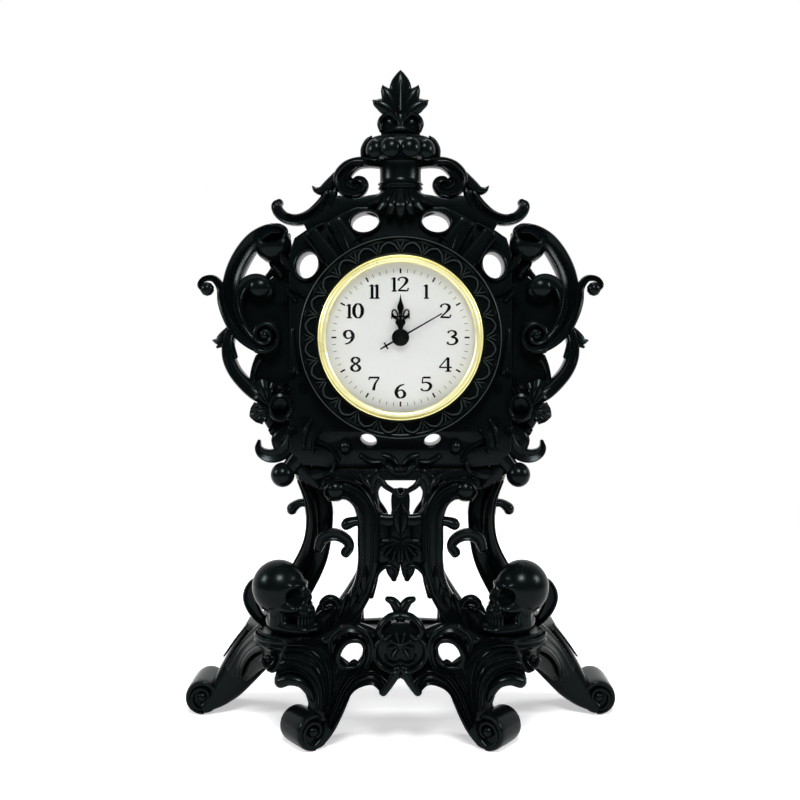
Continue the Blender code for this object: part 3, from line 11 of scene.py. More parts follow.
import bmesh
import bpy
import numpy as np
from mathutils import Matrix, Vector


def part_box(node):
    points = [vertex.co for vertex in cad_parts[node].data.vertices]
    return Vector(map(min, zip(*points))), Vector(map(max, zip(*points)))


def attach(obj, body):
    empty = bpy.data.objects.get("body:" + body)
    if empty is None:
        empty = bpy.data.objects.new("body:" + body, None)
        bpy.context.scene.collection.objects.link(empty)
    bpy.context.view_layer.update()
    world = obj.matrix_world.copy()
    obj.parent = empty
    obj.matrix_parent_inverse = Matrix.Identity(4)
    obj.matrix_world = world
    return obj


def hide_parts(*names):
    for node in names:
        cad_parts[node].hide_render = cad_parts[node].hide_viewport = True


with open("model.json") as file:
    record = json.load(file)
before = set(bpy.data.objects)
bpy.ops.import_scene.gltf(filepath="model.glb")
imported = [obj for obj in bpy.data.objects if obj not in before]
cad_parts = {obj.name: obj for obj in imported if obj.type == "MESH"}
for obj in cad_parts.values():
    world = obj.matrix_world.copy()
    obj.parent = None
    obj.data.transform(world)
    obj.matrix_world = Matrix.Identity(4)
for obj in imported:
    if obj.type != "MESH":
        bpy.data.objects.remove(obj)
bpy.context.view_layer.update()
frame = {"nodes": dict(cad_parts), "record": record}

EYE_BACK = 514.0        # camera distance from the drum's middle plane, mm
FOCAL = 1132.0          # focal length in sheet units
SHEET = 800             # width of the sheet in its units
MIDDLE = 400.5          # the clock's middle on the sheet
DIAL_ROW = 337.5        # the dial's centre on the sheet
DIAL_Z = 177.0          # the dial's centre above the table, mm
HOUSING_BACK = 14.0     # the drum housing's back lies this far behind the drum's middle plane, mm
DRUM_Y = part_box("dial_housing")[1].y * 1000 - HOUSING_BACK


def depths(node):
    """Front and back of a CAD node, in millimetres from the drum's middle plane."""
    low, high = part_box(node)
    return low.y * 1000 - DRUM_Y, high.y * 1000 - DRUM_Y


def place(across, down, y):
    """Millimetres (x, z) of a sheet point that lies at depth y."""
    scale = (y + EYE_BACK) / FOCAL
    return (across - MIDDLE) * scale, DIAL_Z - (down - DIAL_ROW) * scale


def sheet(points, y=0.0):
    """Sheet strokes (across, down, half width) to millimetre strokes (x, z, half width, y)."""
    made = []
    for p in points:
        deep = p[3] if len(p) > 3 else y
        x, z = place(p[0], p[1], deep)
        made.append((x, z, p[2] * (deep + EYE_BACK) / FOCAL, deep))
    return made


def fair(points, steps):
    """A smooth curve through the points, with a number of steps to each span."""
    p = np.array([points[0], *points, points[-1]], float)
    p[0] = 2 * p[1] - p[2]
    p[-1] = 2 * p[-2] - p[-3]
    rows = []
    for i in range(1, len(p) - 2):
        for t in np.arange(steps) / steps:
            a, b, c, d = p[i - 1:i + 3]
            rows.append(0.5 * (2 * b + (c - a) * t + (2 * a - 5 * b + 4 * c - d) * t * t
                               + (3 * b - a - 3 * c + d) * t ** 3))
    rows.append(p[-2])
    return np.array(rows)


# Sections: (across, front to back) round a stroke, in half widths and half depths

def section(kind, count=20):
    """A closed section of a stroke: v is -1 at the front and 1 at the back."""
    a = np.linspace(0, 2 * np.pi, count, endpoint=False) + np.pi / count
    c, s = np.cos(a), np.sin(a)
    power = {"round": 1.0, "rim": 0.55, "ridge": 0.8, "box": 0.4, "reed": 0.6, "soft": 0.75}[kind]
    u = np.sign(c) * np.abs(c) ** power
    v = np.sign(s) * np.abs(s) ** power
    front = v < 0
    if kind == "rim":
        v = np.where(front, v * (1 - 0.42 * np.cos(np.clip(np.abs(u) / 0.8, 0, 1) * np.pi / 2) ** 1.5), v)
    if kind == "ridge":
        v = np.where(front, v * (0.5 + 0.5 * (1 - np.abs(u)) ** 0.8), v)
    if kind == "reed":
        v = np.where(front, v * (0.82 + 0.18 * np.abs(np.sin(np.pi * 1.5 * (u + 1)))), v)
    return np.stack([u, v], 1)


class Casting:
    """Collects closed shells in millimetres and becomes one object in metres."""

    def __init__(self, name):
        self.name = name
        self.points = []
        self.faces = []
        self.count = 0

    def add(self, points, faces, matrix=None):
        points = np.asarray(points, float)
        if matrix is not None:
            m = np.array(matrix)
            points = points @ m[:3, :3].T + m[:3, 3]
            if np.linalg.det(m[:3, :3]) < 0:
                faces = [tuple(reversed(f)) for f in faces]
        self.points.append(points)
        self.faces += [tuple(i + self.count for i in f) for f in faces]
        self.count += len(points)

    def rings(self, rings, matrix=None, closed=False):
        """A skin over rings of equal length, with its ends closed unless the rings form a loop."""
        rings = np.asarray(rings, float)
        n, m = rings.shape[:2]
        faces = []
        for i in range(n if closed else n - 1):
            a, b = i * m, ((i + 1) % n) * m
            for j in range(m):
                k = (j + 1) % m
                faces.append((a + j, a + k, b + k, b + j))
        if not closed:
            faces.append(tuple(reversed(range(m))))
            faces.append(tuple(range((n - 1) * m, n * m)))
        self.add(rings.reshape(-1, 3), faces, matrix)

    def stroke(self, points, deep, kind="rim", steps=5, side=1, matrix=None, count=20, even=0.45,
               caps=(1, 1)):
        """Sweeps a section along a stroke (x, z, half width, y); deep is the full depth at its widest."""
        path = fair(points, steps)
        w = np.maximum(path[:, 2], 0.05)
        tangent = np.gradient(path[:, :2], axis=0)
        length = np.maximum(np.linalg.norm(tangent, axis=1), 1e-9)
        tangent /= length[:, None]
        d = deep / 2 * (w / w.max()) ** even
        rows = [(path[i, :2], tangent[i], w[i], d[i], path[i, 3]) for i in range(len(path))]
        for end, at_start in ((caps[0], True), (caps[1], False)):
            if not end:
                continue
            p, t, wi, di, y = rows[0] if at_start else rows[-1]
            way = -1 if at_start else 1
            extra = []
            for angle in (0.45, 0.9, 1.25, 1.5):
                grow = math.sin(angle) * min(wi, di) * 0.9 * end
                shrink = math.cos(angle)
                extra.append((p + way * t * grow, t, wi * shrink, di * shrink, y))
            rows = (extra[::-1] + rows) if at_start else (rows + extra)
        shape = section(kind, count)
        rings = []
        for p, t, wi, di, y in rows:
            normal = np.array([-t[1], t[0]])
            xz = p + normal * (shape[:, :1] * wi)
            rings.append(np.stack([side * xz[:, 0], y + shape[:, 1] * di, xz[:, 1]], 1))
        rings = np.array(rings)
        if side > 0:
            rings = rings[:, ::-1]
        self.rings(rings, matrix)

    def fan(self, guides, ridges, relief, thick, steps=5, across=8, aside=0.0, sides=(1, -1)):
        """A ridged leaf: a skin over guide curves (across, down, depth) that start at its foot."""
        guides = [[(a + aside, d, y) for a, d, y in guide] for guide in guides]
        curves = np.array([fair([(*place(a, d, y), y) for a, d, y in guide], steps) for guide in guides])
        rows = np.array([fair(curves[:, k], across) for k in range(curves.shape[1])])
        v = np.linspace(0, 1, rows.shape[1])
        wide = np.linalg.norm(rows[:, -1, :2] - rows[:, 0, :2], axis=1)
        share = np.maximum(wide / wide.max(), 0.12)[:, None] ** 0.7
        front = rows[:, :, 2] - relief * share * np.abs(np.cos(np.pi * ridges * v)) ** 2.5
        back = rows[:, :, 2] + thick * share ** 0.4 * (0.3 + 0.7 * np.sin(np.pi * v) ** 0.5)
        for side in sides:
            face = np.stack([side * rows[:, :, 0], front, rows[:, :, 1]], 2)
            rear = np.stack([side * rows[:, ::-1, 0], back[:, ::-1], rows[:, ::-1, 1]], 2)
            self.rings(np.concatenate([face, rear], 1))

    def both(self, points, deep, kind="rim", **more):
        """The same stroke on both sides."""
        for side in (1, -1):
            self.stroke(points, deep, kind, side=side, **more)

    def turned(self, profile, matrix=None, steps=48, loop=False):
        """Turns (radius, height) about +Z."""
        profile = np.array(profile, float)
        radius = np.maximum(profile[:, 0], 0.002)
        a = np.arange(steps) * 2 * np.pi / steps
        rings = np.stack([np.outer(radius, np.cos(a)), np.outer(radius, np.sin(a)),
                          np.outer(profile[:, 1], np.ones(steps))], 2)
        self.rings(rings, matrix, closed=loop)

    def slab(self, outline, holes, y_front, y_back, ease=0.6):
        """A flat outline with holes between two depths, with eased edges."""
        data = bpy.data.curves.new("slab", "CURVE")
        data.dimensions = "2D"
        data.fill_mode = "BOTH"
        data.extrude = (y_back - y_front) / 2 - ease
        data.bevel_depth = ease
        data.bevel_resolution = 2
        data.offset = -ease
        for loop in (outline, *holes):
            spline = data.splines.new("POLY")
            spline.points.add(len(loop) - 1)
            for point, (x, z) in zip(spline.points, loop):
                point.co = (x, z, 0, 1)
            spline.use_cyclic_u = True
        made = bpy.data.objects.new("slab", data)
        bpy.context.scene.collection.objects.link(made)
        bpy.context.view_layer.update()
        mesh = bpy.data.meshes.new_from_object(made.evaluated_get(bpy.context.evaluated_depsgraph_get()))
        points = [v.co[:] for v in mesh.vertices]
        faces = [tuple(p.vertices) for p in mesh.polygons]
        bpy.data.objects.remove(made)
        self.add(points, faces, facing((y_front + y_back) / 2, 0, 0))

    def cast(self, *nodes):
        """Makes a piece of the black castings."""
        return self.done(RESIN, "case", nodes)

    def done(self, finish, body, nodes, smooth=42):
        """Makes the object, gives it its finish, ties it to its body and hides the CAD nodes it stands for.
        """
        mesh = bpy.data.meshes.new(self.name)
        points = np.concatenate(self.points) + (0, DRUM_Y, 0)
        mesh.from_pydata((points * 0.001).tolist(), [], self.faces)
        tidy = bmesh.new()
        tidy.from_mesh(mesh)
        bmesh.ops.remove_doubles(tidy, verts=tidy.verts, dist=1e-6)
        bmesh.ops.recalc_face_normals(tidy, faces=tidy.faces)
        tidy.to_mesh(mesh)
        tidy.free()
        mesh.materials.append(finish)
        mesh.shade_smooth()
        mesh.set_sharp_from_angle(angle=math.radians(smooth))
        made = bpy.data.objects.new(self.name, mesh)
        bpy.context.scene.collection.objects.link(made)
        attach(made, body)
        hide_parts(*nodes)
        return made


def facing(y, x=0.0, z=DIAL_Z):
    """Stands a turned piece's +Z along -Y, from the plane at y."""
    return Matrix.Translation((x, y, z)) @ Matrix.Rotation(math.pi / 2, 4, "X")


def round_dial(angle):
    """A turn about the dial's middle, clockwise as seen."""
    middle = Matrix.Translation((0, 0, DIAL_Z))
    return middle @ Matrix.Rotation(angle, 4, "Y") @ Matrix.Translation((0, 0, -DIAL_Z))


def coil(centre, start, end, angle, turns, width, end_width, y, end_y, count=26):
    """A volute as a stroke in millimetres, from its outer end inwards."""
    made = []
    for i in range(count + 1):
        t = i / count
        a = math.radians(angle) + turns * math.tau * t
        r = start + (end - start) * t ** 0.85
        made.append((centre[0] + r * math.cos(a), centre[1] + r * math.sin(a),
                     width + (end_width - width) * t, y + (end_y - y) * t))
    return made


def draw_all(casting, drawings, sides=(1, -1), by=0.0, inmost=-200.0):
    """Strokes every drawing of a table {name: (section, full depth, y, points, settings)}.

    The points move outwards by some sheet units, and none comes nearer to the middle than inmost, mm.
    """
    for kind, deep, y, points, *settings in drawings.values():
        line = sheet([(p[0] + by, *p[1:]) for p in points], y)
        line = [(max(x, inmost), z, w, d) for x, z, w, d in line]
        for side in sides:
            casting.stroke(line, deep, kind, side=side, **(settings[0] if settings else {}))


# Materials

def look(name, colour, roughness, metallic=0.0, grain=0.0, grain_size=900.0, vary=0.15, gloss=0.5):
    """A procedural finish: a Principled shader with uneven roughness and a fine grain."""
    made = bpy.data.materials.new(name)
    made.use_nodes = True
    nodes, links = made.node_tree.nodes, made.node_tree.links
    shader = nodes["Principled BSDF"]
    shader.inputs["Metallic"].default_value = metallic
    shader.inputs["Specular IOR Level"].default_value = gloss
    where = nodes.new("ShaderNodeTexCoord")
    cloud = nodes.new("ShaderNodeTexNoise")
    cloud.inputs["Scale"].default_value = 60.0
    cloud.inputs["Detail"].default_value = 4.0
    links.new(where.outputs["Object"], cloud.inputs["Vector"])
    shade = nodes.new("ShaderNodeMix")
    shade.data_type = "RGBA"
    # sockets 6 and 7 are the two colours, and output 2 is the mixed one
    shade.inputs[6].default_value = (*[c * (1 - vary) for c in colour], 1)
    shade.inputs[7].default_value = (*[min(1, c * (1 + vary)) for c in colour], 1)
    links.new(cloud.outputs["Fac"], shade.inputs[0])
    links.new(shade.outputs[2], shader.inputs["Base Color"])
    uneven = nodes.new("ShaderNodeMapRange")
    uneven.inputs["To Min"].default_value = max(0.02, roughness - 0.08)
    uneven.inputs["To Max"].default_value = roughness + 0.08
    links.new(cloud.outputs["Fac"], uneven.inputs["Value"])
    links.new(uneven.outputs["Result"], shader.inputs["Roughness"])
    if grain:
        fine = nodes.new("ShaderNodeTexNoise")
        fine.inputs["Scale"].default_value = grain_size
        fine.inputs["Detail"].default_value = 3.0
        links.new(where.outputs["Object"], fine.inputs["Vector"])
        bump = nodes.new("ShaderNodeBump")
        bump.inputs["Strength"].default_value = grain
        bump.inputs["Distance"].default_value = 0.0004
        links.new(fine.outputs["Fac"], bump.inputs["Height"])
        links.new(bump.outputs["Normal"], shader.inputs["Normal"])
    return made


RESIN = look("black_resin_finish", (0.0016, 0.0026, 0.0029), 0.23, grain=0.04, grain_size=900, gloss=0.10)
RESIN.node_tree.nodes["Principled BSDF"].inputs["Specular Tint"].default_value = (0.82, 1.0, 1.0, 1)
# Lighter resin for the dial ring's raised lines: a painted highlight that stands in for the lamps' glints
# on their thin edges
PAINTED_HIGHLIGHT = look("resin_painted_highlight", (0.022, 0.029, 0.030), 0.42, grain=0.1, grain_size=900, gloss=0.2)
GILT = look("champagne_metal", (0.93, 0.88, 0.47), 0.3, metallic=0.55, grain=0.06, grain_size=1500,
            vary=0.04)
CARD = look("dial_enamel", (0.94, 0.95, 0.925), 0.55, grain=0.04, grain_size=2000, vary=0.02)
INK = look("printed_black", (0.004, 0.004, 0.005), 0.5, grain=0.05, vary=0.1, gloss=0.06)
LACQUER = look("hand_lacquer", (0.004, 0.005, 0.005), 0.32, grain=0.05, vary=0.1, gloss=0.12)
# Finishes of the CAD pieces that no drawn piece replaces, by material slot
CARRIED = {
    "black_plastic": look("moulded_black", (0.025, 0.025, 0.027), 0.5, grain=0.2, grain_size=700),
    "rubber": look("rubber_black", (0.02, 0.02, 0.02), 0.75, grain=0.3, grain_size=500),
    "white_plastic": look("acetal_white", (0.75, 0.75, 0.71), 0.42, grain=0.1, grain_size=600, vary=0.05),
    "steel": look("nickel_steel", (0.55, 0.55, 0.54), 0.28, metallic=1.0, grain=0.12, grain_size=1800,
                  vary=0.08),
    "copper_wire": look("enamelled_copper", (0.62, 0.27, 0.12), 0.3, metallic=1.0, grain=0.5,
                        grain_size=1500),
    "circuit_board": look("board_green", (0.03, 0.16, 0.07), 0.45, grain=0.2, grain_size=900),
}


def clear_look():
    """Clear lens: a thin glass that barely shows, with faint smears in its gloss."""
    made = look("lens_clear", (1.0, 1.0, 1.0), 0.0, grain=0.0, vary=0.0)
    shader = made.node_tree.nodes["Principled BSDF"]
    shader.inputs["Transmission Weight"].default_value = 1.0
    shader.inputs["IOR"].default_value = 1.03
    shader.inputs["Specular IOR Level"].default_value = 0.3
    return made


CLEAR = clear_look()
slot_of = {part["node"]: part["material_slot"] for part in frame["record"]["subparts"]}
for name, node in frame["nodes"].items():
    finish = CARRIED.get(slot_of.get(name))
    if finish:
        node.data.materials.clear()
        node.data.materials.append(finish)
        node.data.shade_smooth()
        node.data.set_sharp_from_angle(angle=math.radians(35))


# Legs and base

FOOT_ROLL = 8.1         # outer radius of a coiled foot, mm


def rolled_leg(name, path, centre, matrix, width, band):
    """A leg whose band runs down to the foot and coils up; band is the coil's half thickness."""
    leg = Casting(name)
    cx, cz = centre
    outer = FOOT_ROLL - band
    line = [(x, z, w, 0) for x, z, w in path]
    leg.stroke(line, width, "box", steps=8, matrix=matrix, count=24, even=0.0, caps=(0.3, 0.3))
    start, turns = -95, 0.92        # of the outer coil, in degrees and in whole turns
    circle = coil((cx, cz), outer, outer, start, turns, band, band, 0, 0, 30)
    inner = coil((cx, cz), outer, 2.2, start + turns * 360, 1.05, band, 0.8, 0, 0, 26)
    leg.stroke(circle + inner[1:], width, "box", steps=2, matrix=matrix, even=0.0, caps=(0.5, 0.5))
    half = width / 2
    disc = [(0, -half + 2.6), (outer - 0.4, -half + 2.2), (outer, 0), (outer - 0.4, half - 2.2),
            (0, half - 2.6)]
    leg.turned(disc, matrix @ facing(0, cx, cz), 32)
    boss = [(0, half + 0.1), (1.3, half - 0.2), (2.3, half - 1.0), (2.7, half - 3), (0, half - 3)]
    leg.turned(boss[::-1], matrix @ facing(0, cx, cz), 20)
    leg.turned([(r, -h) for r, h in boss], matrix @ facing(0, cx, cz), 20)
    return leg


REAR_ROLL_X, REAR_LEG_Y, REAR_LEG_WIDTH = 93.0, 29.5, 27.0      # places and widths of the legs, mm
FRONT_ROLL_X, FRONT_ROLL_Y, FRONT_LEG_WIDTH = 41.4, -23.4, 17.4
FRONT_TURN = math.radians(-34)
REAR_COIL, FRONT_COIL = 1.45, 1.2       # half thickness of the coiled bands, mm

# Bands down to the foot: (out, up, half width) in the leg's own plane, mm
REAR_BAND = [(64.8, 32.6, 12.2), (70.0, 27.6, 10.4), (75.4, 20.7, 9.2), (80.8, 13.6, 7.8), (85.4, 8.4, 5.8),
             (89.2, 5.0, 3.8), (92.6, 2.9, 2.7)]
FRONT_BAND = [(-16.5, 33, 9.4), (-13.8, 26.5, 8.2), (-11.9, 20, 6.8), (-10.0, 13.8, 5.2), (-7.6, 8.2, 3.6),
              (-4.4, 4.0, 2.4), (-0.6, 1.7, 1.5)]
REAR_REEDS = [[(547, 634, 1.0), (556, 645, 1.6), (564, 657, 1.6), (569, 671, 1.0)],
              [(551, 652, 0.8), (556, 660, 1.4), (560, 672, 1.0)],
              [(553, 624, 0.8), (565, 639, 1.2), (577, 656, 1.0)]]


def build_legs():
    """Four scroll legs with reeded bands and coiled feet."""
    for word, side in (("left", -1), ("right", 1)):
        mirror = Matrix.Diagonal((side, 1, 1, 1))
        plane = mirror @ Matrix.Translation((0, REAR_LEG_Y, 0))
        leg = rolled_leg("rear_leg_" + word, REAR_BAND, (REAR_ROLL_X, FOOT_ROLL), plane, REAR_LEG_WIDTH,
                         REAR_COIL)
        near = REAR_LEG_Y - REAR_LEG_WIDTH / 2
        for reed in REAR_REEDS:
            line = [(x, z, w, -REAR_LEG_WIDTH / 2 + 0.2) for x, z, w, y in sheet(reed, near)]
            leg.stroke(line, 1.8, "round", steps=6, matrix=plane, count=12)
        leg.cast("leg_rear_" + word)
        plane = mirror @ Matrix.Translation((FRONT_ROLL_X, FRONT_ROLL_Y, 0))
        plane = plane @ Matrix.Rotation(FRONT_TURN, 4, "Z")
        leg = rolled_leg("front_leg_" + word, FRONT_BAND, (0, FOOT_ROLL), plane, FRONT_LEG_WIDTH,
                         FRONT_COIL)
        leg.cast("leg_front_" + word)


FRONT_ASIDE = 5.5       # the apron's carving is drawn from a middle line this far left of the dial's
PAD_ASIDE = 3.0         # and the pads' flanks from one this far left

APRON_FRONT = -30.5     # the medallion's plane, mm
APRON_MIDDLE = (400.5, 645)
SNAIL_BEAD = (530.6, 659.4)
FLOWER_TIPS = ((404.5, 633.5, 2.6), (410.5, 640.5, 2.8), (412.5, 648.5, 2.8), (408.5, 656.5, 2.8))
HOLE_WALL = [(430.4, 655), (429.6, 647), (433.5, 640.4), (441, 638.8), (449, 641), (455.2, 648),
             (457.8, 657), (454.4, 665), (446, 666.4), (437, 664.6)]

# Tables of the base: name: (section, full depth, y, points (across, down, half width, y), settings)
APRON_DRAWN = {
    "apron_top": ("soft", 5.5, -26.5, [(398, 640, 22), (414, 648, 18), (424, 671, 8)], dict(steps=6)),
    "cusp_body": ("soft", 5.0, -27.5, [(395, 664, 14), (400, 668, 12), (408, 678, 7)], dict(steps=6)),
    "band_body": ("soft", 7, -27.0, [
        (422, 634, 6), (434, 629, 5.4), (448, 628.5, 5.4), (460, 634, 5.4), (470, 640, 6)]),
    "leg_root": ("soft", 6.5, -27.0, [(424, 672, 6), (436, 673, 6.6), (448, 677, 8)]),
    "hole_side": ("soft", 7, -27.0, [(462, 642, 5), (467, 657, 7.4), (464, 672, 9)]),
    "hole_band": ("rim", 5.0, APRON_FRONT - 0.4, [
        (433, 671, 2.2), (427, 662, 3.0), (424.5, 650, 3.6), (426.5, 639, 3.7), (434.5, 631, 3.7),
        (446, 628, 3.6), (458, 632.5, 3.4), (464.5, 641, 2.8), (465, 651, 1.4)], dict(steps=6, count=22)),
    "hole_tongue": ("round", 3.6, APRON_FRONT + 1.0, [
        (438, 663, 1.4), (441, 661, 1.8), (444.5, 662.6, 1.6)], dict(count=12)),
    "leaf_lobe": ("round", 8.5, -27.0, [
        (481, 700, 4.0, -26), (485, 691, 5.6, -28), (493, 681.5, 6.4, -28.4), (505, 678.5, 6.6, -27.6),
        (515, 681, 6.8, -26.4)], dict(steps=6)),
    "leaf_body": ("soft", 10, -27.0, [
        (475, 714, 9, -25), (475, 700, 12.6, -25), (478, 684, 15, -25), (488, 668, 15, -24.5),
        (502, 658, 10, -24)], dict(steps=6)),
}

PAD_DRAWN = {
    "snail_arch": ("round", 6.0, -27.0, [
        (558, 679, 1.4, 11), (555, 664, 2.2, 6), (547, 652.5, 2.8, -1), (537, 648, 3.2, -9),
        (528, 650, 3.4, -16), (523.8, 657, 3.4, -21), (526.5, 664, 3.2, -23), (532.5, 665, 3.0, -24),
        (535.4, 660, 2.8, -24.4)], dict(count=16, steps=7)),
    "snail_tail": ("round", 5.0, -27.0, [
        (511, 643, 2.6, -27), (515, 655, 3.4, -26), (519, 664, 3.0, -25), (524.5, 670, 2.6, -24),
        (530, 669.5, 1.6, -23)], dict(steps=6, count=16)),
    "flank_body": ("soft", 6, -27.0, [
        (518, 650, 8, -13), (530, 656, 8, -4), (543, 664, 8, 6), (553, 674, 7, 14)], dict(steps=6)),
    "deck_bead": ("round", 3.4, -27.0, [
        (464, 641, 1.2, -26.8), (486, 641.5, 1.5, -27), (511, 639.5, 1.6, -25.6), (532, 635, 1.5, -20),
        (540, 630, 1.2, -14)], dict(count=12)),
}

BASE_DRAWN = {
    "medallion_arch": ("round", 5.4, APRON_FRONT - 1.0, [
        (401.5, 614, 2.8), (411, 616.5, 3.3), (419.5, 624.5, 3.4), (421.5, 633, 3.2), (416, 638, 2.8),
        (411, 634.5, 2.6)], dict(count=14)),
    "medallion_scroll": ("round", 4.4, APRON_FRONT - 0.6, [
        (420, 639, 2.2), (426, 647, 2.6), (425.5, 658, 2.8), (418.5, 667, 2.8), (407, 671.5, 2.2),
        (401.5, 668, 1.2)], dict(count=14)),
    "medallion_lip": ("round", 3.4, APRON_FRONT - 0.8, [
        (401, 661, 1.4), (406.5, 664, 2.0), (413.5, 661.5, 1.6), (416, 655, 1.2)], dict(count=12)),
    "crown": ("round", 6.0, -28, [
        (401.5, 617, 5.0), (403.5, 608, 5.4), (408, 601.5, 4.6), (413.5, 599, 2.8)], dict(count=16)),
    "cusp": ("round", 5.6, APRON_FRONT + 0.6, [
        (403, 668, 5), (407, 675, 5.4), (412.5, 684, 5), (418, 692, 4.4)], dict(count=16)),
    "ear": ("rim", 8, 0.0, [
        (536, 624, 3.6, 6), (546, 610, 6.4, 4), (550.5, 596.5, 7.4, 3), (548.5, 585.5, 5.6, 2),
        (543, 578.5, 2.6, 1)], dict(steps=6)),
    "ear_root": ("ridge", 14, 0.0, [
        (540, 628, 5, 14), (553, 642, 5, 16), (565, 656, 4, 18)], dict(steps=6)),
}

# Leaves of the base: name: (ridges, relief, thickness, how far outwards, guide curves (across, down, y))
BASE_LEAVES = {
    "cusp_leaf": (5, 1.5, 7.0, FRONT_ASIDE, [
        [(464, 731, -29), (456, 717, -28.4), (449.5, 703, -28), (442, 691.5, -28), (433, 686, -28.6),
         (423, 684.5, -29.4), (416, 690, -30)],
        [(466, 727, -30), (459, 710, -30), (452, 694, -30), (442, 680, -30.4), (431, 674, -30.8),
         (419, 675, -31), (411.5, 685, -31)],
        [(467, 724, -30.6), (461, 705, -31), (454, 688, -31.4), (445, 676, -31.8), (433, 671, -31.8),
         (420, 670.5, -31.6), (408, 680, -31)],
        [(468, 721, -30.6), (463, 701, -31.4), (457, 685, -32), (450, 674, -32), (441, 668.5, -31.6),
         (429, 665.5, -31), (416, 667, -30.4)],
    ]),
    "middle_leaf": (3, 1.2, 6.0, FRONT_ASIDE, [
        [(468, 720, -30), (463, 700, -31), (457.5, 686, -31.6), (452, 677, -31.6), (446, 671, -31),
         (440, 668, -30.6)],
        [(469, 716, -30), (465.5, 698, -31.2), (461.5, 684, -31.8), (458, 675, -31.6), (455, 668, -31),
         (453, 664, -30.4)],
        [(470, 712, -30), (467.5, 696, -31), (465.5, 682, -31.6), (463, 671, -31.6), (461.5, 662, -31),
         (460, 653, -30.4)],
    ]),
    "shoulder_leaf": (7, 1.7, 7.0, FRONT_ASIDE, [
        [(480, 709, -29.4), (480, 696, -31), (484, 684, -31.6), (492, 675, -31), (503, 671, -29.4),
         (514, 673, -27.6), (521, 678, -26)],
        [(476, 711, -30), (475.5, 696, -32), (479, 682, -32.8), (488, 670.5, -32.2), (500, 665, -30.4),
         (511, 664.5, -28.4), (518, 667, -27)],
        [(472.5, 712, -30.4), (471, 695, -32.8), (474, 679, -33.6), (482, 666, -33), (494, 658.5, -31),
         (506, 656, -28.8), (514, 657.5, -27.4)],
        [(470, 713, -30.4), (467.5, 695, -32.6), (469, 677, -33.6), (475, 662, -33), (486, 652, -31.2),
         (499, 648.5, -29.2), (512, 649.5, -27.8)],
        [(468, 713, -30), (464.5, 694, -32), (464, 676, -32.8), (468, 659.5, -32.4), (477, 647.5, -30.8),
         (491, 642.5, -29.2), (507, 642, -28)],
        [(466.5, 712, -29.6), (461.5, 693, -31), (459.5, 675, -31.6), (462, 658.5, -31),
         (469, 645.5, -29.8), (480, 640.5, -28.6), (495, 639.5, -28)],
    ]),
    "flank": (3, 0.9, 5.0, PAD_ASIDE, [
        [(538.5, 623, 2), (549, 633, 7), (561.5, 649, 12), (573, 666, 15.4)],
        [(534, 630, -6), (546, 638, 2), (559, 652, 10), (570, 672, 15.4)],
        [(527, 638, -14), (541, 643.5, -4), (554, 655, 7), (563, 678, 15.4)],
        [(523, 648, -18), (534, 647.5, -10), (546, 653, 0), (556, 672, 12)],
    ]),
}


def build_base():
    """Deck, pads, pierced apron with its medallion, and the acanthus leaves over the front legs."""
    base = Casting("base_carved")
    # plans (x, y) and the pad's profile (radius, height), mm
    deck = [(0, -4), (23, -4), (27, -19), (30, -26), (46, -26), (62, 0), (64, 14), (62, 26), (44, 26),
            (36, 22), (0, 22)]
    outline = deck + [(-x, y) for x, y in reversed(deck[1:-1])]
    base.rings([[(x, y, z) for x, y in outline] for z in (39.6, 42.4)])
    for side in (1, -1):
        pad = [(0, 33), (10.5, 33.2), (12, 36), (13, 40), (14.2, 41.6), (15.4, 42.4), (15.8, 43.4),
               (15.0, 44.2), (15.6, 44.8), (15.8, 45.8), (15.2, 46.6), (0, 46.6)]
        base.turned(pad, Matrix.Translation((side * 49.2, -11.5, 0)), 48)
        plinth = [(34, -9), (33.6, -19), (37, -25), (46, -27), (53, -21), (60, -6), (63.6, 8), (63.4, 16),
                  (55, 16), (44, 4)]
        levels = ((0.14, 40), (0.1, 42.6), (0.03, 44.2), (0.0, 45.2), (0.01, 46.0), (0.05, 46.6))
        moulded(base, plinth, (49, -8), side, levels)
        rear = [(48, 1), (60.5, 0.5), (65.7, 12), (65.7, 42.4), (60, 43), (50, 40), (43, 30), (42, 18)]
        levels = ((0.05, 26.2), (0.0, 27.6), (0.0, 45.4), (0.03, 46.6), (0.3, 47.0))
        moulded(base, rear, (55, 22), side, levels)
    draw_all(base, APRON_DRAWN, by=FRONT_ASIDE)
    draw_all(base, PAD_DRAWN, by=PAD_ASIDE)
    draw_all(base, BASE_DRAWN)
    wall = [(across + FRONT_ASIDE, down, 3.2) for across, down in HOLE_WALL + HOLE_WALL[:2]]
    base.both(sheet(wall, -28), 7.5, "soft")
    for ridges, relief, thick, moved, guides in BASE_LEAVES.values():
        base.fan(guides, ridges, relief, thick, aside=moved)
    for side in (1, -1):
        x, z = place(SNAIL_BEAD[0] + PAD_ASIDE, SNAIL_BEAD[1], -24)
        bead(base, (side * x, -23.5, z), 1.9)
        for across, down, wide in FLOWER_TIPS:
            heart = (MIDDLE + 1, APRON_MIDDLE[1])
            bend = ((across + heart[0]) / 2, (down + heart[1]) / 2, wide * 0.9)
            petal = sheet([(*heart, 1.4), bend, (across, down, wide)], APRON_FRONT - 1.4)
            base.stroke(petal, 3.8, "round", count=12, side=side)
    medallion = [(0, -4), (11.4, -4), (11.4, 0), (10.4, 0.6), (0, 0.8)]
    base.turned(medallion, facing(APRON_FRONT, 0, 44.2), 32)
    x, z = place(*APRON_MIDDLE, APRON_FRONT)
    bead(base, (0, APRON_FRONT - 2.0, z), 1.6)
    rail = [(0, 33), (20, 34), (36, 36), (50, 34), (56, 40), (44, 45), (20, 43.4), (0, 44.4)]
    base.slab(mirrored(rail), [], 20.2, 24.8)
    base.cast("base_casting")


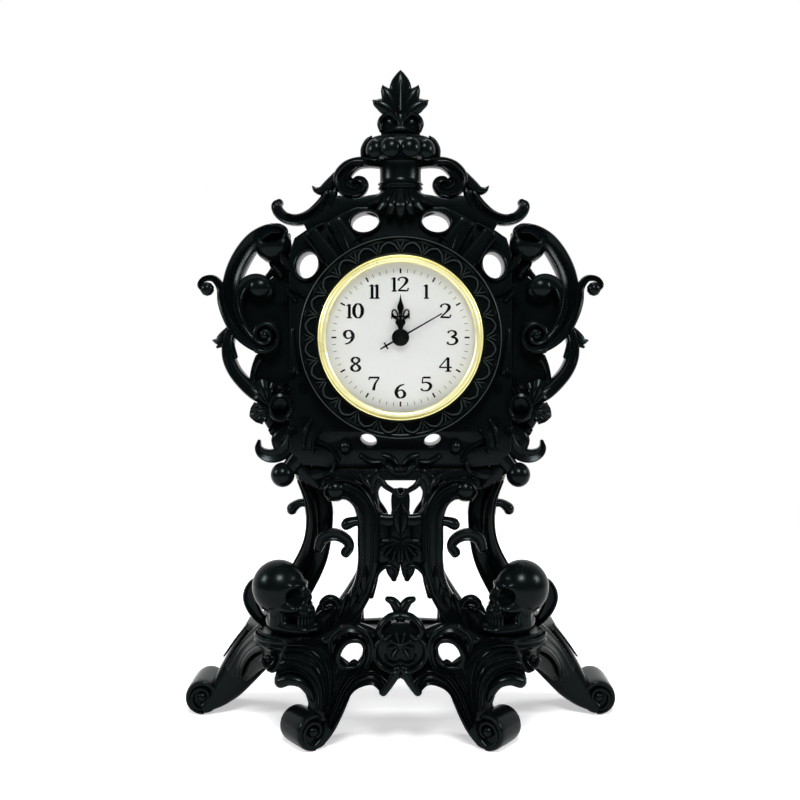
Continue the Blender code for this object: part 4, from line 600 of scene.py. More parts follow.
def moulded(casting, outline, centre, side, levels):
    """A block with a moulded edge: its plan drawn in towards the centre by a share at each height."""
    casting.rings([[(side * (x - (x - centre[0]) * share), y - (y - centre[1]) * share, z)
                    for x, y in outline] for share, z in levels])


def mirrored(half):
    """A closed outline from its right half, from the bottom middle to the top middle."""
    return list(half) + [(-x, z) for x, z in reversed(half) if x > 0]


# Skulls

SKULL_X, SKULL_Y, PAD_TOP = 53.6, -12, 46.9
SKULL_TURN = math.radians(66)
TOOTH_STEP = 0.235          # angle between two front teeth, in radians
# A skull's ovals in its own frame, which faces -Y: centre, radii, 1 to add or -1 to hollow
SKULL_OVALS = [
    ((0, 0.4, 19.5), (11.3, 12.0, 12.0), 1),                                            # braincase
    ((0, -6.4, 14.8), (8.0, 8.2, 8.6), 1),                                              # face
    ((0, -9.9, 21.6), (6.6, 2.4, 1.8), 1),                                              # brow
    ((0, -13.6, 15.6), (1.6, 2.8, 4.2), 1),                                             # nose
    ((0, -11.6, 10.2), (5.4, 5.6, 4.0), 1),                                             # upper jaw
    ((6.6, -8.2, 12.0), (2.4, 4.8, 1.9), 1), ((-6.6, -8.2, 12.0), (2.4, 4.8, 1.9), 1),  # cheekbones
    ((0, -13.8, 2.8), (6.0, 6.4, 2.6), 1),                                              # chin
    ((5.8, -8.0, 2.8), (2.0, 8.6, 2.6), 1), ((-5.8, -8.0, 2.8), (2.0, 8.6, 2.6), 1),    # lower jaw
    ((5.2, -2.4, 6.6), (2.6, 4.2, 6.6), 1), ((-5.2, -2.4, 6.6), (2.6, 4.2, 6.6), 1),    # jaw's rear ends
    ((0, 0.6, 5.0), (5.6, 5.6, 5.4), 1),                                                # nape
    ((5.1, -10.8, 17.0), (3.0, 7.6, 3.5), -1), ((-5.1, -10.8, 17.0), (3.0, 7.6, 3.5), -1),  # eye sockets
    ((0, -17.4, 13.2), (1.7, 3.0, 2.4), -1),                                            # nose hole
]


def build_skulls():
    """Each skull is one smooth skin: overlapping ovals are fused and its sockets are cut."""
    for word, side in (("left", -1), ("right", 1)):
        turn = Matrix.Translation((side * SKULL_X, SKULL_Y, PAD_TOP))
        turn = turn @ Matrix.Rotation(-side * SKULL_TURN, 4, "Z")
        made = fused("skull_" + word + "_carved", turn, SKULL_OVALS)
        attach(made, "case")
        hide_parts("skull_" + word)
        teeth = Casting("skull_" + word + "_teeth")
        rod = [(0, -1), (0.75, -0.94), (1, -0.8), (1, 0.8), (0.75, 0.94), (0, 1)]
        # the teeth stand on an arc at the front and in a row along each cheek
        turns = np.arange(-5, 6) * TOOTH_STEP
        front = [(6.2 * math.sin(a), -10.6 - 6.0 * math.cos(a), 6.6) for a in turns]
        cheeks = [(x * (1 - 0.03 * abs(k - 1)), -5.4 + k * 1.9, 7.2) for x in (7.1, -7.1) for k in range(4)]
        for places, size in ((front, (0.72, 0.72, 2.9, 1)), (cheeks, (0.7, 0.62, 4.2, 1))):
            for at in places:
                teeth.turned(rod, turn @ Matrix.Translation(at) @ Matrix.Diagonal(size), 10)
        teeth.cast("skull_" + word)


def fused(name, turn, ovals):
    """Fuses ovals with a smooth blend, cuts the hollows, and skins the result over a fine grid."""
    step, floor = 0.55, 0.35
    low, high = np.array([-13.0, -23.0, -1.0]), np.array([13.0, 14.5, 32.5])
    axes = [np.arange(a, b, step) for a, b in zip(low, high)]
    gx, gy, gz = np.meshgrid(*axes, indexing="ij")
    field = np.full(gx.shape, 50.0)
    blend, sharp = 1.5, 0.7
    for centre, radii, sign in ovals:
        q = [(g - c) / r for g, c, r in zip((gx, gy, gz), centre, radii)]
        k = np.sqrt(q[0] ** 2 + q[1] ** 2 + q[2] ** 2)
        distance = (k - 1) * min(radii)
        if sign > 0:
            h = np.clip(0.5 + 0.5 * (field - distance) / blend, 0, 1)
            field = field * (1 - h) + distance * h - blend * h * (1 - h)
        else:
            h = np.clip(0.5 - 0.5 * (field + distance) / sharp, 0, 1)
            field = field * (1 - h) - distance * h + sharp * h * (1 - h)
    field = np.maximum(field, floor - gz)
    points, faces = surface_net(field, low, step)
    mesh = bpy.data.meshes.new(name)
    mesh.from_pydata((points * 0.001).tolist(), [], faces)
    made = bpy.data.objects.new(name, mesh)
    bpy.context.scene.collection.objects.link(made)
    mesh.transform(Matrix.Scale(1000, 4))
    mesh.transform(Matrix.Translation((0, DRUM_Y, 0)) @ turn)
    mesh.transform(Matrix.Scale(0.001, 4))
    tidy = bmesh.new()
    tidy.from_mesh(mesh)
    bmesh.ops.recalc_face_normals(tidy, faces=tidy.faces)
    tidy.to_mesh(mesh)
    tidy.free()
    mesh.materials.append(RESIN)
    mesh.shade_smooth()
    return made


def surface_net(field, low, step):
    """Quads on the zero level of a field: one point to each cell that the level crosses."""
    inside = field < 0
    corners = [(i, j, k) for i in (0, 1) for j in (0, 1) for k in (0, 1)]
    n = [s - 1 for s in field.shape]

    def cut(values, o):
        """The values at one corner of every cell."""
        return values[o[0]:o[0] + n[0], o[1]:o[1] + n[1], o[2]:o[2] + n[2]]

    total = sum(cut(inside, o).astype(int) for o in corners)
    crossed = (total > 0) & (total < 8)
    summed = np.zeros((*n, 3))
    weight = np.zeros(n)
    for a in range(8):
        for axis, bit in ((0, 4), (1, 2), (2, 1)):
            if a & bit:
                continue
            o, p = corners[a], corners[a | bit]
            fa, fb = cut(field, o), cut(field, p)
            hit = (fa < 0) != (fb < 0)
            t = np.where(hit, fa / np.where(hit, fa - fb, 1), 0)
            for d in range(3):
                summed[..., d] += np.where(hit, o[d] + (t if d == axis else 0), 0)
            weight += hit
    index = -np.ones(n, int)
    index[crossed] = np.arange(crossed.sum())
    cells = np.argwhere(crossed)
    points = low + (cells + summed[crossed] / weight[crossed][:, None]) * step
    faces = []
    for axis in range(3):
        b, c = [d for d in range(3) if d != axis]
        first, second = inside, np.roll(inside, -1, axis)
        change = first != second
        for cell in np.argwhere(change):
            if min(cell[b], cell[c]) < 1 or any(cell[d] >= n[d] for d in range(3)):
                continue
            quad = []
            for db, dc in ((1, 1), (0, 1), (0, 0), (1, 0)):
                at = cell.copy()
                at[b] -= db
                at[c] -= dc
                quad.append(index[tuple(at)])
            if min(quad) >= 0:
                faces.append(tuple(int(q) for q in quad))
    return points, faces


# Waist

WAIST_TOP, WAIST_BOTTOM, BLADE_BOTTOM = 118.2, 42.7, 47.3   # heights of the glue faces, mm
FRAME_Y = 12.0              # the frames lie this far before and behind the middle plane, mm
COLUMN_HEAD = (465.2, 488.6)
SHELL_FOOT = (401, 541)
SHELL_TIPS = ((402, 560), (409, 559), (415.5, 554), (419.5, 547.5), (419, 539.5))

# Frames: name: (section, full depth, lift off the frame's plane, points, settings)
FRAME_DRAWN = {
    "column": ("reed", 11.6, 0.0, [
        (462, 640, 12), (458, 622, 11.5), (447, 604, 11), (437, 585, 10.5), (432.5, 562, 11),
        (432, 540, 11.6), (432.5, 518, 11.6), (438, 501, 11), (449, 491, 10.4), (461, 488.5, 10.2)],
        dict(steps=7, count=28)),
    "column_foot": ("soft", 9, 0.0, [
        (446, 640, 8), (447, 615, 8), (443, 598, 7), (437, 582, 5)]),
    "inner_reed": ("round", 3.2, 5.9, [
        (443, 600, 1.0), (434, 582, 1.3), (429, 560, 1.5), (428.5, 535, 1.6), (429.5, 514, 1.5),
        (436, 499, 1.4), (447, 489.5, 1.3), (458, 486, 0.9)], dict(count=12)),
    "outer_reed": ("round", 3.0, 5.7, [
        (450, 600, 1.0), (441, 580, 1.2), (437, 560, 1.4), (436.5, 535, 1.5), (437.5, 516, 1.4),
        (443, 504, 1.2), (450, 498.5, 0.9)], dict(count=12)),
    "edge_bead": ("round", 2.4, 5.4, [
        (424, 560, 1.0), (424, 530, 1.3), (427, 506, 1.3), (437, 488, 1.3), (452, 479.5, 1.2),
        (468, 480.5, 1.4), (475.5, 490, 1.3), (471, 499, 1.0)], dict(count=10)),
    "foot_leaf": ("ridge", 4.6, 5.0, [
        (436.5, 591, 2.4), (436.5, 577, 5.0), (436.5, 566, 3.4)], dict(count=16)),
    "snail_body": ("soft", 5, -1.0, [(470, 612, 6), (478, 622, 10), (480, 634, 12)]),
    "inner_curl": ("round", 6.4, 0.0, [
        (426, 583, 2.6), (424, 573, 3.0), (417, 566, 3.2), (409, 565.5, 3.2), (404.5, 571, 3.0),
        (406.5, 578, 2.4)]),
    "curl_web": ("soft", 4.0, 0.0, [(408, 556, 8), (408, 570, 7), (407, 579, 3.0)]),
    "curl_root": ("soft", 5.0, 0.0, [(428, 560, 8), (428, 580, 5), (430, 596, 3)]),
    "panel_corner": ("soft", 5.0, 0.0, [(424, 472, 5), (430.5, 481, 6), (430, 492, 5)]),
    "panel_side": ("soft", 5.0, 0.0, [
        (421, 478, 5.5), (426, 492, 3.2), (427, 508, 5), (421, 524, 8), (419, 545, 10), (417, 560, 8)]),
    "panel_middle": ("soft", 4.6, 0.0, [(401, 498, 5.0), (401, 510, 7), (402, 530, 10), (402, 548, 10)]),
    "tulip": ("round", 4.0, 2.4, [
        (401, 501, 0.8), (404.5, 512, 3.4), (404, 524, 3.4), (401.5, 533, 1.2)], dict(count=14)),
    "shell_lip": ("round", 3.0, 3.4, [(402, 540, 1.6), (409, 537.5, 1.8), (414, 541, 1.4)], dict(count=12)),
    "bowl": ("round", 7.0, 0.0, [(400.5, 474, 3.0), (407, 472, 3.4), (413, 466, 4.0)]),
    "drop_leaf": ("ridge", 4.0, 3.6, [(440, 474, 2.2), (436, 480, 4.2), (431, 486, 2.2)]),
    "corner_curl": ("round", 4.0, 3.0, [(478, 475, 1.2), (469, 471, 2.0), (466, 462, 2.0)]),
}

# What only the front frame has
FRONT_FRAME_DRAWN = {
    "low_leaf": ("ridge", 4.4, 5.2, [(450, 607, 2.2), (446, 595, 4.4), (447, 586, 2.0)], dict(count=16)),
    "lowest_leaf": ("ridge", 4.0, 4.8, [
        (461, 613, 2.2), (457, 601, 3.0), (453.5, 592, 1.2)], dict(count=16)),
    "hook": ("round", 7.0, 0.0, [(440, 521, 5.0), (447, 521.5, 5.0), (453, 523.5, 6.0), (455, 525, 5.4)]),
    "cross_scroll": ("rim", 7.4, 0.0, [
        (455.5, 552.5, 5.2), (451.5, 547, 4.8), (454, 540.5, 5.2), (461.5, 535.5, 5.8), (470.5, 534.5, 6.2),
        (478.5, 538.5, 6.0), (482.5, 548, 4.6)]),
    "snail": ("round", 7, 0.0, [
        (466, 636, 8), (464, 618, 5), (462, 606, 3.4), (466, 599.5, 3.6), (473, 598.5, 3.8),
        (478.5, 603.5, 3.6), (476, 609, 3.2), (470.5, 607, 2.4)], dict(steps=6)),
    "panel_sill": ("soft", 4.6, 0.0, [(403, 518, 5), (411, 520.5, 6.5), (421, 520, 7)]),
    "hole_edge": ("soft", 4.2, 0.0, [(405.5, 490, 2.2), (406.5, 498, 3.4), (405, 512, 4.4)]),
    "heart_bar": ("round", 5.0, 0.0, [
        (402, 497, 2.4), (408, 491, 2.6), (415.5, 486, 3.0), (422, 478, 4.0)]),
}

# Blades: name: (section, full depth, y, points, settings)
BLADE_DRAWN = {
    "blade": ("ridge", 10.4, 0.0, [
        (532, 622, 7, 7), (522, 607, 7, 6), (512.5, 590, 7.2, 6), (500.5, 566, 7.0, 5), (492, 545, 6.4, 4),
        (488.8, 522, 6.4, 3), (491.5, 500, 6.0, 3), (498.5, 482, 4.6, 4), (504, 468, 4, 5)],
        dict(steps=7, count=24)),
    "flange": ("soft", 6.0, 0.0, [
        (521, 622, 8, 10), (509, 607, 9, 10), (496, 585, 10, 10), (484, 558, 10.5, 9), (478.5, 530, 10, 9),
        (478, 505, 9.4, 9), (486, 482, 8, 9), (496, 464, 7, 9)], dict(steps=7)),
    "outer_reed": ("round", 2.6, 0.0, [
        (512, 572, 1.0, -1), (498, 545, 1.3, -2.2), (493.5, 522, 1.3, -2.8), (496, 500, 1.3, -2.6),
        (503, 481, 1.0, -1)], dict(steps=7, count=10)),
    "inner_reed": ("round", 2.4, 0.0, [
        (484, 552, 0.9, 0), (484.5, 525, 1.2, -0.8), (488, 500, 1.2, -0.6), (496, 480, 1.0, 0)],
        dict(steps=7, count=10)),
    "hook": ("round", 7.0, 5, [(492, 503, 4.2), (501, 503, 4.2), (508, 507.5, 5.4), (509, 510, 5.2)]),
}


def build_waist():
    """Front and back openwork frames and the two bowed side blades."""
    for word, y, way in (("front", -FRAME_Y, 1), ("back", FRAME_Y, -1)):
        waist = Casting("waist_" + word + "_carved")

        def draw(kind, deep, lift, points, settings=None):
            """A stroke that stands out by lift from this frame's plane; the back frame faces back."""
            line = [(x, z, w, y - way * lift) for x, z, w, d in sheet(points, -FRAME_Y)]
            waist.both(line, deep, kind, **(settings or {}))

        for drawing in FRAME_DRAWN.values():
            draw(*drawing)
        if way > 0:
            for drawing in FRONT_FRAME_DRAWN.values():
                draw(*drawing)
        for side in (1, -1):
            x, z = place(*COLUMN_HEAD, -FRAME_Y)
            ball(waist, (side * x, y, z), (5.6, 7.4, 5.7))
        for across, down in SHELL_TIPS:
            middle = ((SHELL_FOOT[0] + across) / 2 + 0.6, (SHELL_FOOT[1] + down) / 2 - 1, 2.2)
            draw("round", 3.4, 2.8, [(*SHELL_FOOT, 1.2), middle, (across, down, 2.6)], dict(count=12))
        half, deep = 31, 4.4        # the rail under the housing
        near, far = sorted((y - way * 1.5, y + way * 5.5))
        waist.add(*box_mesh((-half, near, WAIST_TOP - deep), (half, far, WAIST_TOP)))
        cut_level(waist, WAIST_BOTTOM)
        waist.cast("waist_" + word)
    for word, side in (("left", -1), ("right", 1)):
        blade = Casting("blade_" + word + "_carved")
        draw_all(blade, BLADE_DRAWN, (side,))
        cut_level(blade, BLADE_BOTTOM)
        blade.cast("side_blade_" + word)


def cut_level(casting, low=None, high=None):
    """Presses points that stick out past a glue face back onto it."""
    for p in casting.points:
        if low is not None:
            p[:, 2] = np.maximum(p[:, 2], low)
        if high is not None:
            p[:, 2] = np.minimum(p[:, 2], high)


def box_mesh(low, high):
    """The corners and faces of a box."""
    points = [(x, y, z) for x in (low[0], high[0]) for y in (low[1], high[1]) for z in (low[2], high[2])]
    faces = [(0, 1, 3, 2), (4, 6, 7, 5), (0, 4, 5, 1), (2, 3, 7, 6), (0, 2, 6, 4), (1, 5, 7, 3)]
    return points, faces


# Housing and dial ring

def oval(across, down, wide, tall, tilt=0.0, y=-8.0, count=28):
    """A tilted oval hole of the sheet, in millimetres."""
    made = []
    t = math.radians(tilt)
    for i in range(count):
        a = math.tau * i / count
        u, v = wide * math.cos(a), tall * math.sin(a)
        at = (across + u * math.cos(t) - v * math.sin(t), down + u * math.sin(t) + v * math.cos(t))
        made.append(place(*at, y))
    return made


PLATE_FRONT, PLATE_BACK = -8.0, 9.8     # the pierced plate, mm
DRUM_FRONT = -12.2                      # the drum's front rim, mm
RING_BACK = -14.0                       # plane on which the dial ring is turned, mm
BEZEL_FOOT = -14.3                      # plane on which the bezel is turned, mm
# Ovals: (across, down, half width, half height, tilt in degrees)
PLATE_HOLES = ((436, 221.8, 14.2, 10.2, 12), (493.8, 265, 10.6, 13.4, -18), (432.5, 440, 8.4, 5.6, -18))
LIP_Y = -9.0
HOLE_LIPS = ((493.8, 265, 12.2, 15, -18), (436, 221.8, 15.6, 11.6, 12))
STRAPS = ([(466, 222, 8), (455, 238, 9), (446, 254, 10)], [(489, 232, 6.5), (478, 247, 7.5), (466, 264, 9)])
STRAP_EDGES = ([(478, 224, 1.4), (486, 228, 1.6), (494, 236, 1.4)], [(440, 236, 1.2), (448, 243, 1.2)])
ROSETTE, SHOULDER_BALL, SMALL_BALL = (522, 407), (518.4, 474.8), (456, 448)
# Leaves beside and under the ring: (across, down, size, direction in degrees)
SHOULDER_LEAVES = ((505, 378, 12, 60), (512, 386, 12, -20), (503, 391, 11, 150), (498, 428, 13, 120),
                   (506, 436, 12, 60), (488, 446, 11, 150))

# Housing: name: (section, full depth, y, points, settings)
HOUSING_DRAWN = {
    "strap_mark": ("round", 1.6, -11.4, [(470.5, 236, 1.0), (473.5, 230, 1.0)]),
    "inner_strap_edge": ("round", 1.6, -11.2, [
        (466, 221, 0.9), (457, 236, 1.0), (452, 250, 0.8)], dict(count=10)),
    "outer_strap_edge": ("round", 1.8, -11.0, [
        (497, 236, 1.0), (487, 248, 1.2), (478, 263, 1.0)], dict(count=10)),
    "shoulder_leaf": ("ridge", 5, -7.5, [(505, 275, 2.6), (516, 262, 3.4), (521, 254, 2)]),
    "side_ridge": ("ridge", 4, 0.0, [(508, 330, 3, -7), (507, 350, 4, -7.5), (503, 372, 3.6, -8)]),
    "side_bud": ("round", 4, 0.0, [
        (505, 300, 2.4, -8), (513, 292, 2.8, -8), (519, 291, 1.4, -8)], dict(count=12)),
    "side_vein": ("round", 3, 0.0, [
        (497, 296, 1.4, -8.6), (506, 290, 2.0, -8.6), (515, 285, 1.4, -8.4)], dict(count=12)),
    "hook": ("rim", 8.0, -4.0, [
        (541.8, 441, 1.8), (542.4, 447.5, 3.6), (538.5, 453, 5.4), (530, 455.8, 6.8), (520, 453.5, 7.2),
        (512, 446, 7.2), (508, 437, 7), (504, 426, 7)], dict(steps=6, count=22)),
    "hook_root": ("soft", 8, -4, [(499, 452, 9), (505, 460, 9), (512, 469, 8)]),
    "shoulder_body": ("soft", 8, -2, [
        (505, 436, 9), (504, 452, 10), (500, 466, 9.5), (491, 477, 7.5), (483, 486, 4)]),
    "under_plate": ("soft", 7, -2, [(468, 470, 7), (484, 473, 8), (498, 477, 6)]),
    "blade_top": ("soft", 6, 0, [(472, 470, 6), (477, 480, 6), (482, 487, 4)]),
    "hook_web": ("soft", 7, -2.5, [(511, 430, 8), (521, 438, 8.5), (519, 448, 8)]),
    "arc": ("round", 3.4, -10.5, [
        (486, 447, 1.4), (476, 450, 1.8), (468, 455, 2.0), (466, 464, 1.8), (471, 472, 1.2)],
        dict(count=12)),
    "arc_leaf": ("ridge", 3.6, -9.6, [(462, 461, 1.8), (470, 449, 2.4), (481, 443, 1.4)]),
    "low_bud": ("round", 3.4, -8.8, [(418, 455, 2.0), (410, 458, 2.8), (404, 464, 2.0)], dict(count=12)),
    "low_leaf": ("ridge", 3.4, -8.8, [(440, 456, 2.4), (430, 462, 3.0), (420, 462, 2.4)]),
    "corner_leaf": ("ridge", 4, -8.4, [(490, 420, 2.6), (496, 432, 3.2), (497, 446, 2.6)]),
    "small_corner_leaf": ("ridge", 4, -8.4, [(480, 430, 2.0), (487, 440, 2.6), (488, 452, 2.0)]),
}


def build_housing():
    """The drum, its pierced plate with broad straps, corner ornament, and hooks under the shoulders."""
    house = Casting("housing_carved")
    half = [(0, 118.6), (30, 118.6), (44, 120), (49.6, 126), (50, 135), (50, 205), (50, 214), (47.5, 221.5),
            (41, 226), (33, 229), (26, 233), (20, 235.6), (0, 235.8)]
    bore, around = 33.4, [math.tau * i / 96 for i in range(96)]
    holes = [[(bore * math.cos(a), DIAL_Z + bore * math.sin(a)) for a in around]]
    holes += [[(side * x, z) for x, z in oval(*hole)] for side in (1, -1) for hole in PLATE_HOLES]
    house.slab(mirrored(half), holes, PLATE_FRONT, PLATE_BACK, 0.8)
    drum = [(bore, -25.8), (bore, 0.0), (44.4, 0.0), (44.6, -0.4), (44.6, -25.2), (44.0, -25.8)]
    house.turned(drum, facing(DRUM_FRONT), 96, loop=True)
    for points in STRAPS:
        house.both(sheet(points, -8.6), 5.0, "box", steps=6)
    draw_all(house, HOUSING_DRAWN)
    for points in STRAP_EDGES:
        house.both(sheet(points, -10), 3.0, "round", count=10)
    for lip in HOLE_LIPS:
        points = [(x, z, 0.7, LIP_Y) for x, z in oval(*lip, y=LIP_Y)]
        house.both(points + points[:2], 2.0, "round", steps=2, count=10)
    for drawing in SHOULDER_LEAVES:
        leaf(house, *drawing, -8.2, 3.0)
    rim = [(4.5, 0.6), (5.3, 1.6), (5.6, 3.0), (5.3, 4.3), (4.4, 4.9), (3.7, 4.1), (3.4, 2.6), (3.6, 0.8)]
    cup = [(0, -8), (5.2, -8), (5.2, 0.8), (3.8, 0.8), (3.2, -5.2), (0, -5.6)]
    for side in (1, -1):
        x, z = place(*ROSETTE, -12)
        tilt = Matrix.Rotation(side * math.radians(-8), 4, "Z") @ Matrix.Rotation(math.radians(6), 4, "X")
        stand = Matrix.Translation((side * x, -7.6, z)) @ tilt @ Matrix.Rotation(math.pi / 2, 4, "X")
        stand = stand @ Matrix.Diagonal((0.98, 1.2, 1, 1))
        house.turned(rim, stand, 36, loop=True)
        house.turned(cup, stand, 30)
        x, z = place(*SHOULDER_BALL, -6)
        ball(house, (side * x, -5.5, z), (5.4, 5.8, 5.6))
        x, z = place(*SMALL_BALL, -14)
        ball(house, (side * x, -8.8, z), (2.9, 4.4, 3.8))
    house.cast("dial_housing")

    ring = Casting("ring_carved")
    profile = [(33.6, -1.2), (33.6, 0.0), (36.8, 0.0), (37.1, 0.15), (37.6, 0.35), (39.5, 0.25),
               (42.6, 0.45), (43.2, 0.6), (43.5, 1.0), (43.9, 1.5), (44.35, 1.55), (44.7, 1.2),
               (44.75, 0.6), (44.75, -1.2)]
    ring.turned(profile[::-1], facing(RING_BACK), 128, loop=True)
    ring.cast("dial_ring")
    ring = Casting("ring_lines")
    edge = [(44.62, 0.6), (44.62, 1.45), (44.35, 1.62), (44.1, 1.45), (44.1, 0.6)]
    ring.turned(edge, facing(RING_BACK), 128, loop=True)
    arches, low = 24, 37.6      # number of arches, and the radius on which they stand, mm
    half = math.pi * 40 / arches
    # the right half of an arch, then the whole: (across, up from the dial's middle, half width, y)
    arch = [(0, low + 4.6, 0.36, -15.2), (half * 0.52, low + 3.2, 0.34, -15.1),
            (half * 0.70, low + 1.6, 0.3, -14.9), (half * 0.86, low + 0.1, 0.2, -14.4)]
    arch = [(-x, *rest) for x, *rest in reversed(arch[1:])] + arch
    for i in range(arches):
        a = math.tau * (i + 0.5) / arches
        line = [(x, DIAL_Z + z, w, y) for x, z, w, y in arch]
        ring.stroke(line, 1.7, "round", steps=4, matrix=round_dial(a), count=8)
        for way in (1, -1):
            dart = [(0, DIAL_Z + 38.6, 0.16, -14.4), (way * 0.5, DIAL_Z + 40.4, 0.24, -14.6),
                    (way * 1.3, DIAL_Z + 42.2, 0.14, -14.6)]
            ring.stroke(dart, 1.0, "round", steps=3, matrix=round_dial(a + math.pi / arches), count=8)
    # the ring's arches, darts and rim bead take the lighter resin, a painted highlight
    ring.done(PAINTED_HIGHLIGHT, "case", ["dial_ring"])


def leaf(casting, across, down, size, way, y, deep, spread=46, sides=(1, -1)):
    """A small ridged leaf that opens from its foot; way is its direction in degrees, up is 90."""
    guides = []
    for k in (-1.0, -0.5, 0.0, 0.5, 1.0):
        a = math.radians(way + k * spread)
        reach = size * (1 - 0.2 * abs(k))
        foot = (across - k * 0.1 * size * math.sin(a), down - k * 0.1 * size * math.cos(a), y + 1.0)
        bend, tip = [(across + share * reach * math.cos(a), down - share * reach * math.sin(a), y + lift)
                     for share, lift in ((0.55, -0.8), (1.0, 0.6))]
        guides.append([foot, bend, tip])
    casting.fan(guides, 4, 0.9, deep, steps=4, across=4, sides=sides)


def bead(casting, centre, radius):
    """A small ball."""
    ball(casting, centre, (radius, radius, radius), 12)


def ball(casting, centre, radii, steps=28):
    """An oval ball."""
    half = [(math.sin(a), -math.cos(a)) for a in np.linspace(0, math.pi, max(6, steps // 2))]
    casting.turned(half, Matrix.Translation(centre) @ Matrix.Diagonal((*radii, 1)), steps)


# Wings

WING_SEAM = 50.4        # where the wings meet the housing, mm from the middle

# Wings: name: (section, full depth, y, points (across, down, half width, y), settings)
WING_DRAWN = {
    "outer_band": ("rim", 13, 0.0, [
        (521, 230, 4.5, -3), (532.5, 230.5, 6.0, -2), (546, 240.5, 8.6, -1), (557.5, 256, 9.6, 0),
        (566, 274, 9.4, 0), (569.5, 292, 8.8, 0), (569, 310, 8.0, -1), (562, 326, 7.6, -2),
        (552, 339, 7.0, -3), (541, 346, 5.4, -4)], dict(steps=7, count=26)),
    "band_reed": ("round", 2.6, 0.0, [
        (543, 247, 0.9, -6), (553, 259, 1.2, -6.6), (561, 276, 1.4, -7), (563.5, 296, 1.4, -7),
        (560, 315, 1.2, -7), (551, 331, 1.0, -7)], dict(steps=6, count=10)),
    "curl_lip": ("round", 4.5, 0.0, [
        (517, 240, 2.0, -6), (515, 231, 2.4, -6.5), (521, 226, 2.4, -5.5), (530, 225.5, 2.2, -4)],
        dict(count=14)),
    "inner_band": ("rim", 9, 0.0, [
        (534, 291, 8.0, -4), (537, 283, 7.0, -4.4), (545, 279.5, 6.0, -4.6), (554, 283, 6.0, -4.6),
        (560.5, 293, 5.6, -4.6), (562.5, 306, 5.0, -4.8), (559, 320, 4.4, -4.8), (552, 332, 3.6, -5),
        (543, 340, 2.6, -5)], dict(steps=7, count=24)),
    "volute_body": ("soft", 9, 0.0, [(538, 336, 12, -0.5), (537, 334, 12, -0.5)], dict(steps=2)),
    "stem": ("rim", 9.5, 0.0, [
        (594, 289.5, 5.2, -3), (600, 285, 3.2, -3), (596, 279, 2.8, -3), (586.5, 279, 3.6, -3),
        (580, 288, 4.0, -3), (578.5, 302, 4.4, -3), (574, 316, 4.6, -3), (567, 329, 4.8, -3),
        (557, 339.5, 4.8, -3.4), (545, 347.5, 4.4, -4), (534, 350.5, 4.0, -5), (525, 346, 3.2, -5.4)],
        dict(steps=6, count=22)),
    "spur": ("ridge", 5, 0.0, [
        (570, 327, 3.0, -2), (577, 335, 4.4, -2.4), (582.5, 341, 4.0, -2.4), (587.5, 340.5, 1.2, -2)]),
    "spur_tip": ("ridge", 4.4, 0.0, [
        (573, 336, 2.6, -2), (578, 343, 3.4, -2.2), (583.5, 347, 1.6, -2)], dict(steps=4, count=14)),
    "lower_band": ("rim", 11, 0.0, [
        (570, 333, 5.0, -2), (572.5, 345, 6.0, -2), (571.5, 358, 6.4, -2), (566, 371, 6.6, -2),
        (556.5, 383, 6.8, -2), (546, 393, 6.6, -2), (538, 399, 5.0, -2)], dict(steps=6, count=24)),
    "lower_leaf": ("ridge", 5, 0.0, [
        (570, 338, 2.0, -4), (568.5, 349, 3.2, -5), (565, 357, 2.0, -5)], dict(steps=4)),
    "lower_body": ("soft", 7, 0.0, [
        (541, 358, 5.0, 0), (545, 366, 4.0, 0), (547.5, 376, 3.6, 0), (546, 386, 6, 0)], dict(steps=4)),
    "upper_leaf": ("ridge", 6, 0.0, [
        (521, 252, 4, 1), (523, 262, 4, 1), (529, 272, 3.4, 1), (535, 279, 3, 1)], dict(steps=4)),
    "upper_bud": ("ridge", 4, 0.0, [
        (520, 275, 4, -2), (528, 266, 3, -2), (531, 259, 2, -2)], dict(steps=4)),
    "shell_body": ("soft", 7, 0.0, [(528, 425, 6, 1), (533, 412, 8, 1), (537, 398, 8, 1)], dict(steps=4)),
    "shell_foot": ("soft", 5, 0.0, [(517, 436, 4, 1), (526, 432, 4, 1)], dict(steps=3)),
}

# Centres on the sheet
CURL_BALL, BAND_HEAD, VOLUTE, STEM_BALL = (528.5, 245), (541, 287), (536.4, 335.4), (594, 289)
WING_WEB = [(512, 233), (518, 246), (526, 260), (530, 268), (528, 277), (536, 284), (550, 288), (560, 297),
            (564, 308), (560, 324), (551, 342), (541, 354), (545, 366), (547, 378), (543, 392), (538, 410),
            (531, 428), (520, 440), (506, 440), (506, 233)]
# Ridged shells beside the rosette: (across, down, size, direction in degrees, y)
WING_SHELLS = ((533, 404, 26, 66, -5.6), (531, 409, 21.5, -20, -4.5), (523, 423, 15, -78, -4.0))


